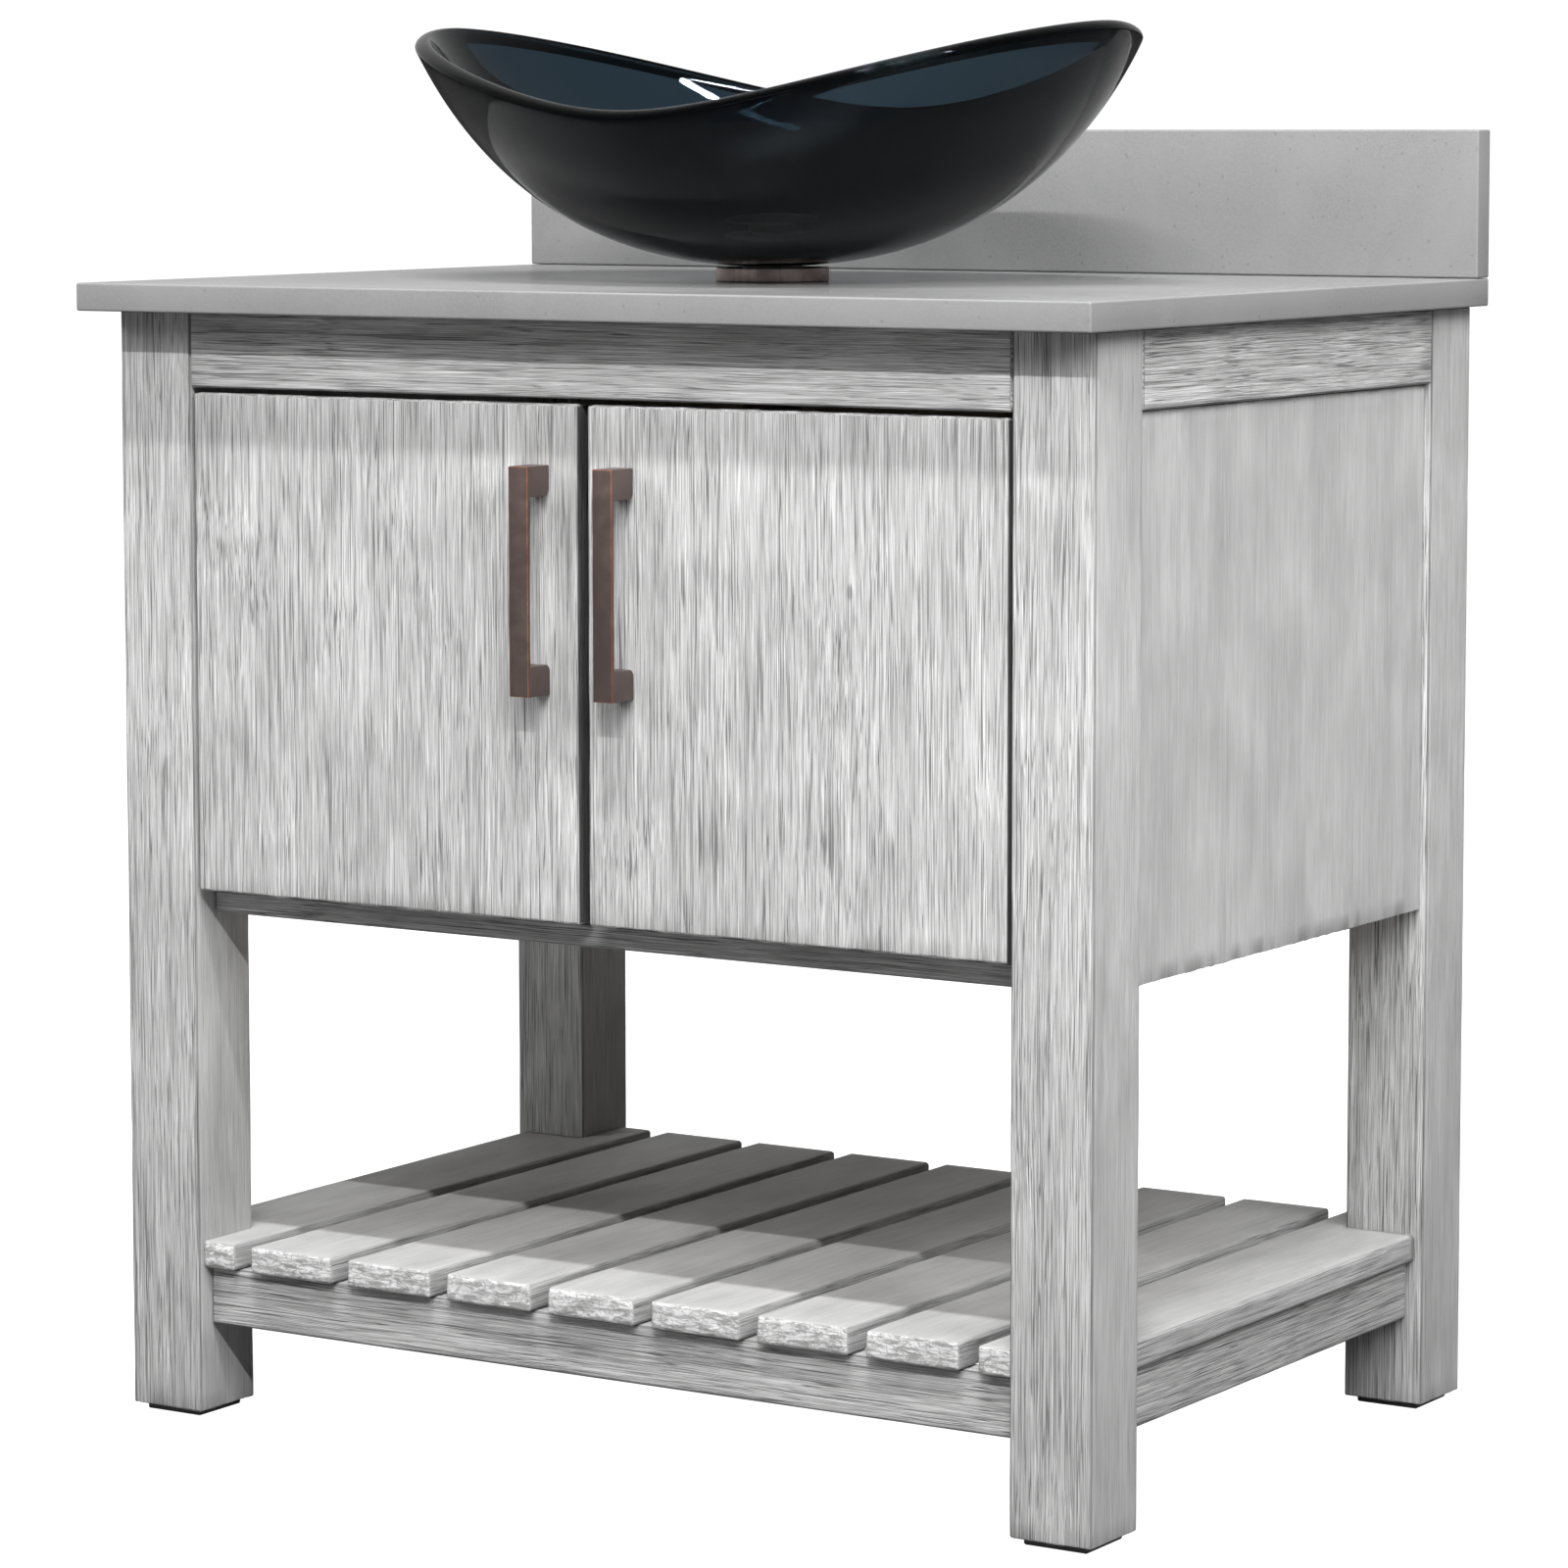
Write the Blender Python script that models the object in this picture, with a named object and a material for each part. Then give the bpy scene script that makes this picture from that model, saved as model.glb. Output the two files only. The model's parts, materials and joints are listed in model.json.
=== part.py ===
"""A bathroom vanity: an open-shelf timber cabinet with two inset doors, a stone top with a
backsplash, and a boat-shaped glass basin that stands on a metal ring over a pop-up drain.

Metres, +Z up. The origin is on the floor, under the middle of the countertop. -Y is the front.
"""

import math

import bmesh
import bpy
from mathutils import Matrix, Vector

# Gap left between pieces that touch on the real vanity.
CLEAR = 0.0003

# Countertop and backsplash.
TOP_WIDTH = 0.787
TOP_DEPTH = 0.559
TOP_THICK = 0.019
TOP_Z = 0.782
SPLASH_HEIGHT = 0.1015
SPLASH_THICK = 0.019
STONE_EDGE = 0.0012
TOP_UNDERSIDE = TOP_Z - TOP_THICK
FRONT = -TOP_DEPTH / 2
BACK = TOP_DEPTH / 2

# Legs and glides.
LEG = 0.0595
LEG_OUT = TOP_WIDTH / 2 - 0.013
LEG_IN = LEG_OUT - LEG
LEG_FRONT = FRONT + 0.031
LEG_BACK = BACK - 0.001
GLIDE_HEIGHT = 0.004
GLIDE_WIDTH = 0.046
WOOD_EDGE = 0.0014

# Rails, panels and cabinet floor.
RAIL_THICK = 0.020
TOP_RAIL_LOW = 0.7118
CABINET_LOW = 0.3505
FLOOR_TOP = 0.3660
SIDE_RECESS = 0.005
SIDE_PANEL_THICK = 0.016
FLOOR_RAIL_RECESS = 0.021
BACK_PANEL_THICK = 0.006
BACK_PANEL_RECESS = 0.008
PLUMBING_OPENING = (-0.150, 0.150, 0.430, 0.640)

# Slatted shelf.
SHELF_RAIL_LOW = 0.065
SHELF_RAIL_HIGH = 0.105
SHELF_RAIL_RECESS = 0.0125
SLAT_COUNT = 9
SLAT_PITCH = 0.08225
SLAT_WIDTH = 0.069
SLAT_TOP = 0.124
SLAT_END_RECESS = 0.0045
OUTER_SLAT_IN = 0.295
OUTER_SLAT_OUT = 0.374

# Doors, hinges and handles. Hinge sizes in the plan view count from the leg's inner face and
# from the front plane of the legs.
DOOR_LOW = 0.3678
DOOR_HIGH = 0.7085
DOOR_THICK = 0.019
DOOR_GAP_LEG = 0.00275
DOOR_GAP_MIDDLE = 0.0077
DOOR_EDGE = 0.003
HINGE_X = 0.026
HINGE_Y = 0.011
HINGE_INSET_Z = 0.062
CUP_RADIUS = 0.0173
CUP_WALL = 0.001
CUP_DEPTH = 0.0122
CUP_FLANGE_RADIUS = 0.020
CUP_FLANGE_THICK = 0.0012
CUP_PIN_RADIUS = 0.0015
CUP_POCKET_OVERCUT = 0.004
ARM_THICK = 0.0024
ARM_HEIGHT = 0.012
ARM_EYE_RADIUS = 0.0028
ARM_OUT_X = 0.040
ARM_OUT_Y = 0.025
ARM_TURN_Y = 0.050
ARM_STEP_X = 0.013
ARM_FOOT_Y = 0.055
ARM_PLATE_FRONT = 0.042
ARM_PLATE_BACK = 0.068
HANDLE_WIDTH = 0.015
HANDLE_LENGTH = 0.150
HANDLE_REACH = 0.025
HANDLE_BAR = 0.003
HANDLE_POST = 0.020
HANDLE_POST_ROUND = 0.0045
HANDLE_EDGE = 0.0006
HANDLE_X = 0.0328
HANDLE_MIDDLE_Z = 0.5935
SCREW_RADIUS = 0.002
SCREW_HEAD_RADIUS = 0.004
SCREW_HEAD_THICK = 0.0022
SCREW_HEAD_ROUND = 0.6
SCREW_GRIP = 0.008

# Glass basin: plan half sizes, heights of its rim and the two curves of its wall.
BASIN_Y = FRONT + 0.262
BASIN_HALF_LENGTH = 0.268
BASIN_HALF_WIDTH = 0.189
BASIN_PLAN_POWER = 1.06
BASIN_BASE_Z = TOP_Z + 0.0096
BASIN_TIP_Z = 0.9490
BASIN_MIDDLE_Z = 0.8905
BASIN_RIM_SOFTNESS = 0.35
BASIN_GLASS = 0.0115
BASIN_HOLE_RADIUS = 0.0225
BASIN_LIP_ROUND = 0.6
BASIN_AROUND = 44
BASIN_UP = 11
BASIN_LIP = 4
# Each wall curve is a cubic from the base (0, 0) to the rim (1, 1): how far its foot runs flat,
# how far in its upper handle reaches, and its slope at the rim.
WALL_ALONG = (0.29, 0.24, 3.45)
WALL_ACROSS = (0.45, 0.26, 3.2)

# Mounting ring and seals. Their heights count from the top of the countertop.
ROUND = 40
TOP_HOLE_RADIUS = 0.0225
RING_RADIUS = 0.0385
RING_INNER_RADIUS = 0.0230
RING_SEAT_RADIUS = 0.0340
RING_HEIGHT = 0.0095
RING_SEAT_HEIGHT = 0.0076
RING_EDGE = 0.0004
RING_SEAL = (0.0245, 0.0325)
FLANGE_SEAL = (0.0235, 0.0290)
FLANGE_SEAL_LIFT = 0.0017
FLANGE_SEAL_THICK = 0.0014
UNDER_SEAL = (0.0212, 0.0320)
UNDER_SEAL_THICK = 0.003

# Drain and pop-up cap. The flange stands over the glass at its hole.
PIPE_RADIUS = 0.0205
PIPE_BORE = 0.0185
PIPE_LOW = 0.676
PIPE_STEP = 0.001
PIPE_TAPER = 0.005
FLANGE_RADIUS = 0.0320
FLANGE_LIFT = 0.0034
FLANGE_THICK = 0.0018
FLANGE_EDGE = 0.0006
THROAT_DEPTH = 0.004
TAIL_RADIUS = 0.0160
TAIL_BORE = 0.0145
TAIL_LOW = 0.590
NUT_HEIGHT = 0.011
NUT_ACROSS = 0.062
NUT_EDGE = 0.0008
HUB_LOW = 0.736
HUB_HIGH = 0.746
WEB_COUNT = 3
WEB_THICK = 0.0024
WEB_OVERLAP = 0.001
CARTRIDGE_RADIUS = 0.0090
CARTRIDGE_BORE = 0.0062
CARTRIDGE_FLOOR = 0.002
CARTRIDGE_TOP = 0.790
CAP_RADIUS = 0.0320
CAP_EDGE = 0.002
CAP_EDGE_THICK = 0.003
CAP_DOME_RISE = 0.0032
CAP_LIFT = 0.0105
NECK_RADIUS = 0.0155
NECK_TAPER = 0.003
NECK_HEIGHT = 0.0075
STEM_RADIUS = 0.0056
STEM_LOW = 0.772
SPRING_TURNS = 6
SPRING_WIRE = 0.0006
SPRING_RADIUS = 0.0046

MATERIALS = {
    "grey_timber": ((0.52, 0.52, 0.51), 0.62, 0.0),
    "grey_stone": ((0.40, 0.40, 0.40), 0.22, 0.0),
    "smoked_glass": ((0.05, 0.07, 0.085), 0.04, 0.0),
    "aged_bronze": ((0.11, 0.075, 0.06), 0.38, 0.85),
    "ring_bronze": ((0.17, 0.12, 0.105), 0.32, 0.9),
    "plated_steel": ((0.55, 0.55, 0.56), 0.28, 1.0),
    "black_rubber": ((0.03, 0.03, 0.03), 0.7, 0.0),
    "plywood": ((0.45, 0.40, 0.33), 0.75, 0.0),
    "dark_plastic": ((0.06, 0.06, 0.06), 0.5, 0.0),
}


def clear_scene():
    for obj in list(bpy.data.objects):
        bpy.data.objects.remove(obj, do_unlink=True)


def material(name):
    found = bpy.data.materials.get(name)
    if found:
        return found
    colour, roughness, metallic = MATERIALS[name]
    made = bpy.data.materials.new(name)
    made.use_nodes = True
    shader = made.node_tree.nodes["Principled BSDF"]
    shader.inputs["Base Color"].default_value = (*colour, 1.0)
    shader.inputs["Roughness"].default_value = roughness
    shader.inputs["Metallic"].default_value = metallic
    return made


# ---------------------------------------------------------------- mesh helpers


def to_object(name, shape, material_name, smooth=False):
    """Turns a bmesh in world coordinates into an object, with its faces pointing out."""
    bmesh.ops.recalc_face_normals(shape, faces=shape.faces)
    mesh = bpy.data.meshes.new(name)
    shape.to_mesh(mesh)
    shape.free()
    if smooth:
        mesh.shade_smooth()
        mesh.set_sharp_from_angle(angle=math.radians(35))
    mesh.materials.append(material(material_name))
    obj = bpy.data.objects.new(name, mesh)
    bpy.context.scene.collection.objects.link(obj)
    return obj


def move_origin(obj, point):
    """Puts the object's origin at a point and leaves its shape where it is."""
    shift = Vector(point) - obj.location
    obj.data.transform(Matrix.Translation(-shift))
    obj.location = point


def soften(obj, width, segments=1):
    bevel = obj.modifiers.new("edges", "BEVEL")
    bevel.width = width
    bevel.segments = segments
    bevel.limit_method = "ANGLE"
    bevel.angle_limit = math.radians(40)
    return obj


def cut(obj, cutter):
    """Takes the cutter out of the object and hides the cutter."""
    boolean = obj.modifiers.new("cut_" + cutter.name, "BOOLEAN")
    boolean.operation = "DIFFERENCE"
    boolean.solver = "EXACT"
    boolean.object = cutter
    cutter.hide_render = True
    cutter.display_type = "WIRE"


def join(obj, other):
    """Adds the other shape to the object and hides the other shape."""
    boolean = obj.modifiers.new("join_" + other.name, "BOOLEAN")
    boolean.operation = "UNION"
    boolean.solver = "EXACT"
    boolean.object = other
    other.hide_render = True
    other.display_type = "WIRE"


def block(name, x, y, z, material_name, edge=WOOD_EDGE, segments=1):
    """A box between two values on each axis, with its origin at its centre and soft edges."""
    spans = (x, y, z)
    centre = Vector([(low + high) / 2 for low, high in spans])
    shape = bmesh.new()
    bmesh.ops.create_cube(shape, size=1.0)
    for vertex in shape.verts:
        vertex.co = Vector([vertex.co[i] * (spans[i][1] - spans[i][0]) for i in range(3)])
    obj = to_object(name, shape, material_name)
    obj.location = centre
    if edge:
        soften(obj, edge, segments)
    return obj


def extruded(name, outline, low, high, axis, material_name):
    """A prism: an outline in the plane across X or Z, run from low to high along that axis."""

    def place(a, b, along):
        return (along, a, b) if axis == "x" else (a, b, along)

    shape = bmesh.new()
    ring = [shape.verts.new(place(a, b, low)) for a, b in outline]
    face = shape.faces.new(ring)
    made = bmesh.ops.extrude_face_region(shape, geom=[face])
    far = [item for item in made["geom"] if isinstance(item, bmesh.types.BMVert)]
    bmesh.ops.translate(shape, verts=far, vec=place(0, 0, high - low))
    return to_object(name, shape, material_name)


def turned(name, profile, centre, material_name, steps=ROUND, axis="z"):
    """A lathe shape: closed profile of (radius, height), spun round an axis through centre."""
    shape = bmesh.new()
    verts = [shape.verts.new((radius, 0, height)) for radius, height in profile]
    edges = [shape.edges.new((verts[i - 1], verts[i])) for i in range(len(verts))]
    bmesh.ops.spin(
        shape,
        geom=verts + edges,
        cent=(0, 0, 0),
        axis=(0, 0, 1),
        angle=math.tau,
        steps=steps,
        use_merge=True,
    )
    bmesh.ops.remove_doubles(shape, verts=shape.verts, dist=1e-6)
    on_axis = [e for e in shape.edges if all(v.co.xy.length < 1e-7 for v in e.verts)]
    bmesh.ops.delete(shape, geom=on_axis, context="EDGES_FACES")
    if axis == "y":
        quarter_turn = Matrix.Rotation(math.pi / 2, 3, "X")
        bmesh.ops.rotate(shape, verts=shape.verts, matrix=quarter_turn)
    obj = to_object(name, shape, material_name, smooth=True)
    obj.location = centre
    return obj


def cylinder(name, radius, low, high, centre, material_name, steps=ROUND, axis="z"):
    profile = [(0, low), (radius, low), (radius, high), (0, high)]
    return turned(name, profile, centre, material_name, steps, axis)


def arc(centre, radius, start, end, steps):
    """Points along an arc, angles in degrees."""
    angles = [math.radians(start + (end - start) * i / steps) for i in range(steps + 1)]
    return [(centre[0] + radius * math.cos(a), centre[1] + radius * math.sin(a)) for a in angles]


def strip_outline(route, thickness):
    """Outline of a flat strip that follows a route of points, with mitred bends."""
    points = [Vector(point) for point in route]
    runs = [(b - a).normalized() for a, b in zip(points, points[1:])]
    left = []
    right = []
    for i, point in enumerate(points):
        before = runs[max(i - 1, 0)]
        after = runs[min(i, len(runs) - 1)]
        along = (before + after).normalized()
        across = Vector((-along.y, along.x))
        reach = thickness / 2 / across.dot(Vector((-after.y, after.x)))
        left.append(tuple(point + across * reach))
        right.append(tuple(point - across * reach))
    return left + right[::-1]


# ---------------------------------------------------------------- top


def make_countertop():
    top = block(
        "countertop",
        (-TOP_WIDTH / 2, TOP_WIDTH / 2),
        (FRONT, BACK),
        (TOP_UNDERSIDE, TOP_Z),
        "grey_stone",
        STONE_EDGE,
        segments=2,
    )
    low = TOP_UNDERSIDE - TOP_THICK
    high = TOP_Z + TOP_THICK
    centre = (0, BASIN_Y, 0)
    cut(top, cylinder("countertop_drain_cutter", TOP_HOLE_RADIUS, low, high, centre, "grey_stone"))


def make_backsplash():
    block(
        "backsplash",
        (-TOP_WIDTH / 2, TOP_WIDTH / 2),
        (BACK - SPLASH_THICK, BACK),
        (TOP_Z + CLEAR, TOP_Z + SPLASH_HEIGHT),
        "grey_stone",
        STONE_EDGE,
        segments=2,
    )


# ---------------------------------------------------------------- cabinet


def corners():
    """Each leg's name, its side (-1 left, 1 right) and its depth span."""
    front = (LEG_FRONT, LEG_FRONT + LEG)
    back = (LEG_BACK - LEG, LEG_BACK)
    for end, depth in (("front", front), ("rear", back)):
        for side_name, side in (("left", -1), ("right", 1)):
            yield f"{end}_{side_name}", side, depth


def sided(side, near, far):
    """A span in X from near to far of the middle, on the left (-1) or the right (1)."""
    return (near, far) if side > 0 else (-far, -near)


def make_legs():
    for name, side, depth in corners():
        height = (GLIDE_HEIGHT + CLEAR, TOP_UNDERSIDE - CLEAR)
        block(f"leg_{name}", sided(side, LEG_IN, LEG_OUT), depth, height, "grey_timber")


def make_glides():
    margin = (LEG - GLIDE_WIDTH) / 2
    for name, side, depth in corners():
        block(
            f"glide_{name}",
            sided(side, LEG_IN + margin, LEG_OUT - margin),
            (depth[0] + margin, depth[1] - margin),
            (0, GLIDE_HEIGHT),
            "dark_plastic",
            edge=0.001,
        )


def make_top_rails():
    between_x = (-LEG_IN + CLEAR, LEG_IN - CLEAR)
    between_y = (LEG_FRONT + LEG + CLEAR, LEG_BACK - LEG - CLEAR)
    height = (TOP_RAIL_LOW, TOP_UNDERSIDE - CLEAR)
    block("rail_top_front", between_x, (LEG_FRONT, LEG_FRONT + RAIL_THICK), height, "grey_timber")
    block("rail_top_rear", between_x, (LEG_BACK - RAIL_THICK, LEG_BACK), height, "grey_timber")
    for name, side in (("left", -1), ("right", 1)):
        span = sided(side, LEG_OUT - RAIL_THICK, LEG_OUT)
        block(f"rail_top_{name}", span, between_y, height, "grey_timber")


def make_side_panels():
    outer = LEG_OUT - SIDE_RECESS
    depth = (LEG_FRONT + LEG + CLEAR, LEG_BACK - LEG - CLEAR)
    height = (CABINET_LOW, TOP_RAIL_LOW - CLEAR)
    for name, side in (("left", -1), ("right", 1)):
        span = sided(side, outer - SIDE_PANEL_THICK, outer)
        block(f"side_panel_{name}", span, depth, height, "grey_timber", edge=0.0008)


def make_cabinet_floor():
    """The floor board fills the cabinet and is notched round the four legs."""
    rail_front = LEG_FRONT + FLOOR_RAIL_RECESS
    rail_back = rail_front + RAIL_THICK
    block(
        "floor_rail",
        (-LEG_IN + CLEAR, LEG_IN - CLEAR),
        (rail_front, rail_back),
        (CABINET_LOW, FLOOR_TOP),
        "grey_timber",
    )
    wide = LEG_OUT - SIDE_RECESS - SIDE_PANEL_THICK - CLEAR
    narrow = LEG_IN - CLEAR
    front = rail_back + CLEAR
    back = LEG_BACK - BACK_PANEL_RECESS - BACK_PANEL_THICK - CLEAR
    behind_legs = LEG_FRONT + LEG + CLEAR
    before_legs = LEG_BACK - LEG - CLEAR
    right = [(narrow, front), (narrow, behind_legs), (wide, behind_legs)]
    right += [(wide, before_legs), (narrow, before_legs), (narrow, back)]
    left = [(-x, y) for x, y in reversed(right)]
    extruded("floor_panel", right + left, CABINET_LOW, FLOOR_TOP, "z", "plywood")


def make_back_panel():
    back = LEG_BACK - BACK_PANEL_RECESS
    panel = block(
        "back_panel",
        (-LEG_IN + CLEAR, LEG_IN - CLEAR),
        (back - BACK_PANEL_THICK, back),
        (CABINET_LOW, TOP_RAIL_LOW - CLEAR),
        "plywood",
        edge=0,
    )
    left, right, low, high = PLUMBING_OPENING
    through = (back - 2 * BACK_PANEL_THICK, back + BACK_PANEL_THICK)
    cut(panel, block("plumbing_cutter", (left, right), through, (low, high), "plywood", edge=0))


# ---------------------------------------------------------------- shelf


def make_shelf_rails():
    height = (SHELF_RAIL_LOW, SHELF_RAIL_HIGH)
    between_x = (-LEG_IN + CLEAR, LEG_IN - CLEAR)
    between_y = (LEG_FRONT + LEG + CLEAR, LEG_BACK - LEG - CLEAR)
    front = LEG_FRONT + SHELF_RAIL_RECESS
    back = LEG_BACK - SHELF_RAIL_RECESS
    block("shelf_rail_front", between_x, (front, front + RAIL_THICK), height, "grey_timber")
    block("shelf_rail_rear", between_x, (back - RAIL_THICK, back), height, "grey_timber")
    outer = LEG_OUT - SHELF_RAIL_RECESS
    for name, side in (("left", -1), ("right", 1)):
        span = sided(side, outer - RAIL_THICK, outer)
        block(f"shelf_rail_{name}", span, between_y, height, "grey_timber")


def make_slats():
    height = (SHELF_RAIL_HIGH + CLEAR, SLAT_TOP)
    depth = (LEG_FRONT + SLAT_END_RECESS, LEG_BACK - SLAT_END_RECESS)
    middle = SLAT_COUNT // 2
    for i in range(1, SLAT_COUNT - 1):
        centre = (i - middle) * SLAT_PITCH
        span = (centre - SLAT_WIDTH / 2, centre + SLAT_WIDTH / 2)
        block(f"slat_{i + 1}", span, depth, height, "grey_timber")
    make_outer_slat("slat_1", -1, depth, height)
    make_outer_slat(f"slat_{SLAT_COUNT}", 1, depth, height)


def make_outer_slat(name, side, depth, height):
    """An outer slat is wider than the rest and notched round both legs on its side."""
    near = OUTER_SLAT_IN
    notch = LEG_IN - CLEAR
    far = OUTER_SLAT_OUT
    first = LEG_FRONT + LEG + CLEAR
    last = LEG_BACK - LEG - CLEAR
    outline = [(near, depth[0]), (notch, depth[0]), (notch, first), (far, first)]
    outline += [(far, last), (notch, last), (notch, depth[1]), (near, depth[1])]
    outline = [(side * x, y) for x, y in outline]
    soften(extruded(name, outline, height[0], height[1], "z", "grey_timber"), WOOD_EDGE)


# ---------------------------------------------------------------- doors


def make_door(name, side):
    """One door with its hinges, handle and screws. The moving pieces hang on the hinge empty."""
    hinge = bpy.data.objects.new(f"hinge_axis_{name}", None)
    hinge.location = (side * (LEG_IN - HINGE_X), LEG_FRONT + HINGE_Y, 0)
    bpy.context.scene.collection.objects.link(hinge)
    door = block(
        f"door_{name}",
        sided(side, DOOR_GAP_MIDDLE / 2, LEG_IN - DOOR_GAP_LEG),
        (LEG_FRONT, LEG_FRONT + DOOR_THICK),
        (DOOR_LOW, DOOR_HIGH),
        "grey_timber",
        DOOR_EDGE,
        segments=3,
    )
    moving = [door]
    for place, z in (("lower", DOOR_LOW + HINGE_INSET_Z), ("upper", DOOR_HIGH - HINGE_INSET_Z)):
        moving.append(make_hinge_cup(f"hinge_cup_{name}_{place}", side, z, door))
        make_hinge_arm(f"hinge_arm_{name}_{place}", side, z)
    handle = make_handle(f"handle_{name}", side)
    moving.append(handle)
    for place, direction in (("lower", -1), ("upper", 1)):
        offset = direction * (HANDLE_LENGTH - HANDLE_POST) / 2
        z = HANDLE_MIDDLE_Z + offset
        moving.append(make_handle_screw(f"handle_screw_{name}_{place}", side, z, (door, handle)))
    for obj in moving:
        obj.location -= hinge.location
        obj.parent = hinge


def make_hinge_cup(name, side, z, door):
    """A round cup let into the door's back, with a flange and the pin that the arm turns on."""
    centre = (side * (LEG_IN - HINGE_X), LEG_FRONT + DOOR_THICK, z)
    inner = CUP_RADIUS - CUP_WALL
    # Heights run forward into the door, so the flange lies behind it.
    profile = [
        (0, CUP_DEPTH),
        (CUP_RADIUS, CUP_DEPTH),
        (CUP_RADIUS, -CLEAR),
        (CUP_FLANGE_RADIUS, -CLEAR),
        (CUP_FLANGE_RADIUS, -CLEAR - CUP_FLANGE_THICK),
        (inner, -CLEAR - CUP_FLANGE_THICK),
        (inner, CUP_DEPTH - CUP_WALL),
        (0, CUP_DEPTH - CUP_WALL),
    ]
    cup = turned(name, profile, centre, "plated_steel", steps=20, axis="y")
    reach = inner + CUP_WALL / 2
    pin_centre = (centre[0], LEG_FRONT + HINGE_Y, z)
    pin_name = name + "_pin"
    join(cup, cylinder(pin_name, CUP_PIN_RADIUS, -reach, reach, pin_centre, "plated_steel", 12))
    pocket = (CUP_RADIUS + CLEAR, -CUP_POCKET_OVERCUT, CUP_DEPTH + CLEAR)
    cut(door, cylinder(name + "_pocket", *pocket, centre, "grey_timber", steps=20, axis="y"))
    return cup


def make_hinge_arm(name, side, z):
    """A bent steel arm from the pin out of the cup, back and over to a plate on the leg."""
    eye = (HINGE_X, HINGE_Y)
    route = [
        eye,
        (ARM_OUT_X, ARM_OUT_Y),
        (ARM_OUT_X, ARM_TURN_Y),
        (ARM_STEP_X, ARM_TURN_Y),
        (ARM_STEP_X, ARM_FOOT_Y),
        (CLEAR + ARM_THICK, ARM_FOOT_Y),
    ]

    def placed(points):
        return [(side * (LEG_IN - x), LEG_FRONT + y) for x, y in points]

    half = ARM_HEIGHT / 2
    strip = placed(strip_outline(route, ARM_THICK))
    arm = extruded(name, strip, z - half, z + half, "z", "plated_steel")
    foot = [
        (CLEAR, ARM_PLATE_FRONT),
        (CLEAR + ARM_THICK, ARM_PLATE_FRONT),
        (CLEAR + ARM_THICK, ARM_PLATE_BACK),
        (CLEAR, ARM_PLATE_BACK),
    ]
    span = (z - ARM_HEIGHT, z + ARM_HEIGHT)
    join(arm, extruded(name + "_plate", placed(foot), *span, "z", "plated_steel"))
    centre = (*placed([eye])[0], z)
    join(arm, cylinder(name + "_eye", ARM_EYE_RADIUS, -half, half, centre, "plated_steel", 16))
    bore = CUP_PIN_RADIUS + CLEAR
    reach = ARM_HEIGHT
    cut(arm, cylinder(name + "_bore", bore, -reach, reach, centre, "plated_steel", 12))


def make_handle(name, side):
    """A flat bar on two square posts, whose inner corners are rounded at the door."""
    door_face = LEG_FRONT - CLEAR
    front = door_face - HANDLE_REACH
    behind_bar = front + HANDLE_BAR
    top = HANDLE_MIDDLE_Z + HANDLE_LENGTH / 2
    bottom = HANDLE_MIDDLE_Z - HANDLE_LENGTH / 2
    upper = top - HANDLE_POST
    lower = bottom + HANDLE_POST
    centre_y = door_face - HANDLE_POST_ROUND
    outline = [(front, bottom), (door_face, bottom)]
    outline += arc((centre_y, lower - HANDLE_POST_ROUND), HANDLE_POST_ROUND, 0, 90, 4)
    outline += [(behind_bar, lower), (behind_bar, upper)]
    outline += arc((centre_y, upper + HANDLE_POST_ROUND), HANDLE_POST_ROUND, -90, 0, 4)
    outline += [(door_face, top), (front, top)]
    span = sided(side, HANDLE_X - HANDLE_WIDTH / 2, HANDLE_X + HANDLE_WIDTH / 2)
    handle = extruded(name, outline, *span, "x", "aged_bronze")
    return soften(handle, HANDLE_EDGE)


def make_handle_screw(name, side, z, drilled):
    """A machine screw through the door into the handle's post, with its head behind the door."""
    centre = (side * HANDLE_X, LEG_FRONT + DOOR_THICK, z)
    tip = DOOR_THICK + SCREW_GRIP
    head = SCREW_HEAD_THICK + CLEAR
    profile = [
        (0, tip),
        (SCREW_RADIUS, tip),
        (SCREW_RADIUS, -CLEAR),
        (SCREW_HEAD_RADIUS, -CLEAR),
        (SCREW_HEAD_RADIUS, -head * SCREW_HEAD_ROUND),
        (SCREW_HEAD_RADIUS * SCREW_HEAD_ROUND, -head),
        (0, -head),
    ]
    screw = turned(name, profile, centre, "plated_steel", steps=12, axis="y")
    hole = (SCREW_RADIUS + CLEAR, -DOOR_THICK, tip + CLEAR)
    cutter = cylinder(name + "_hole", *hole, centre, "plated_steel", steps=12, axis="y")
    for obj in drilled:
        cut(obj, cutter)
    return screw


# ---------------------------------------------------------------- basin


def wall_point(curve, t):
    """(share of the way out, share of the way up) on one wall curve, from base 0 to rim 1."""
    foot, upper, slope = curve
    middle = 3 * (1 - t) ** 2 * t
    end = 3 * (1 - t) * t**2
    out = middle * foot + end * (1 - upper) + t**3
    up = end * (1 - upper * slope) + t**3
    return out, up


def rim_lift(cosine):
    """How far the rim has risen from its middle (0) to its tips (1)."""
    soft = BASIN_RIM_SOFTNESS
    return (math.hypot(cosine, soft) - soft) / (math.hypot(1, soft) - soft)


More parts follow.
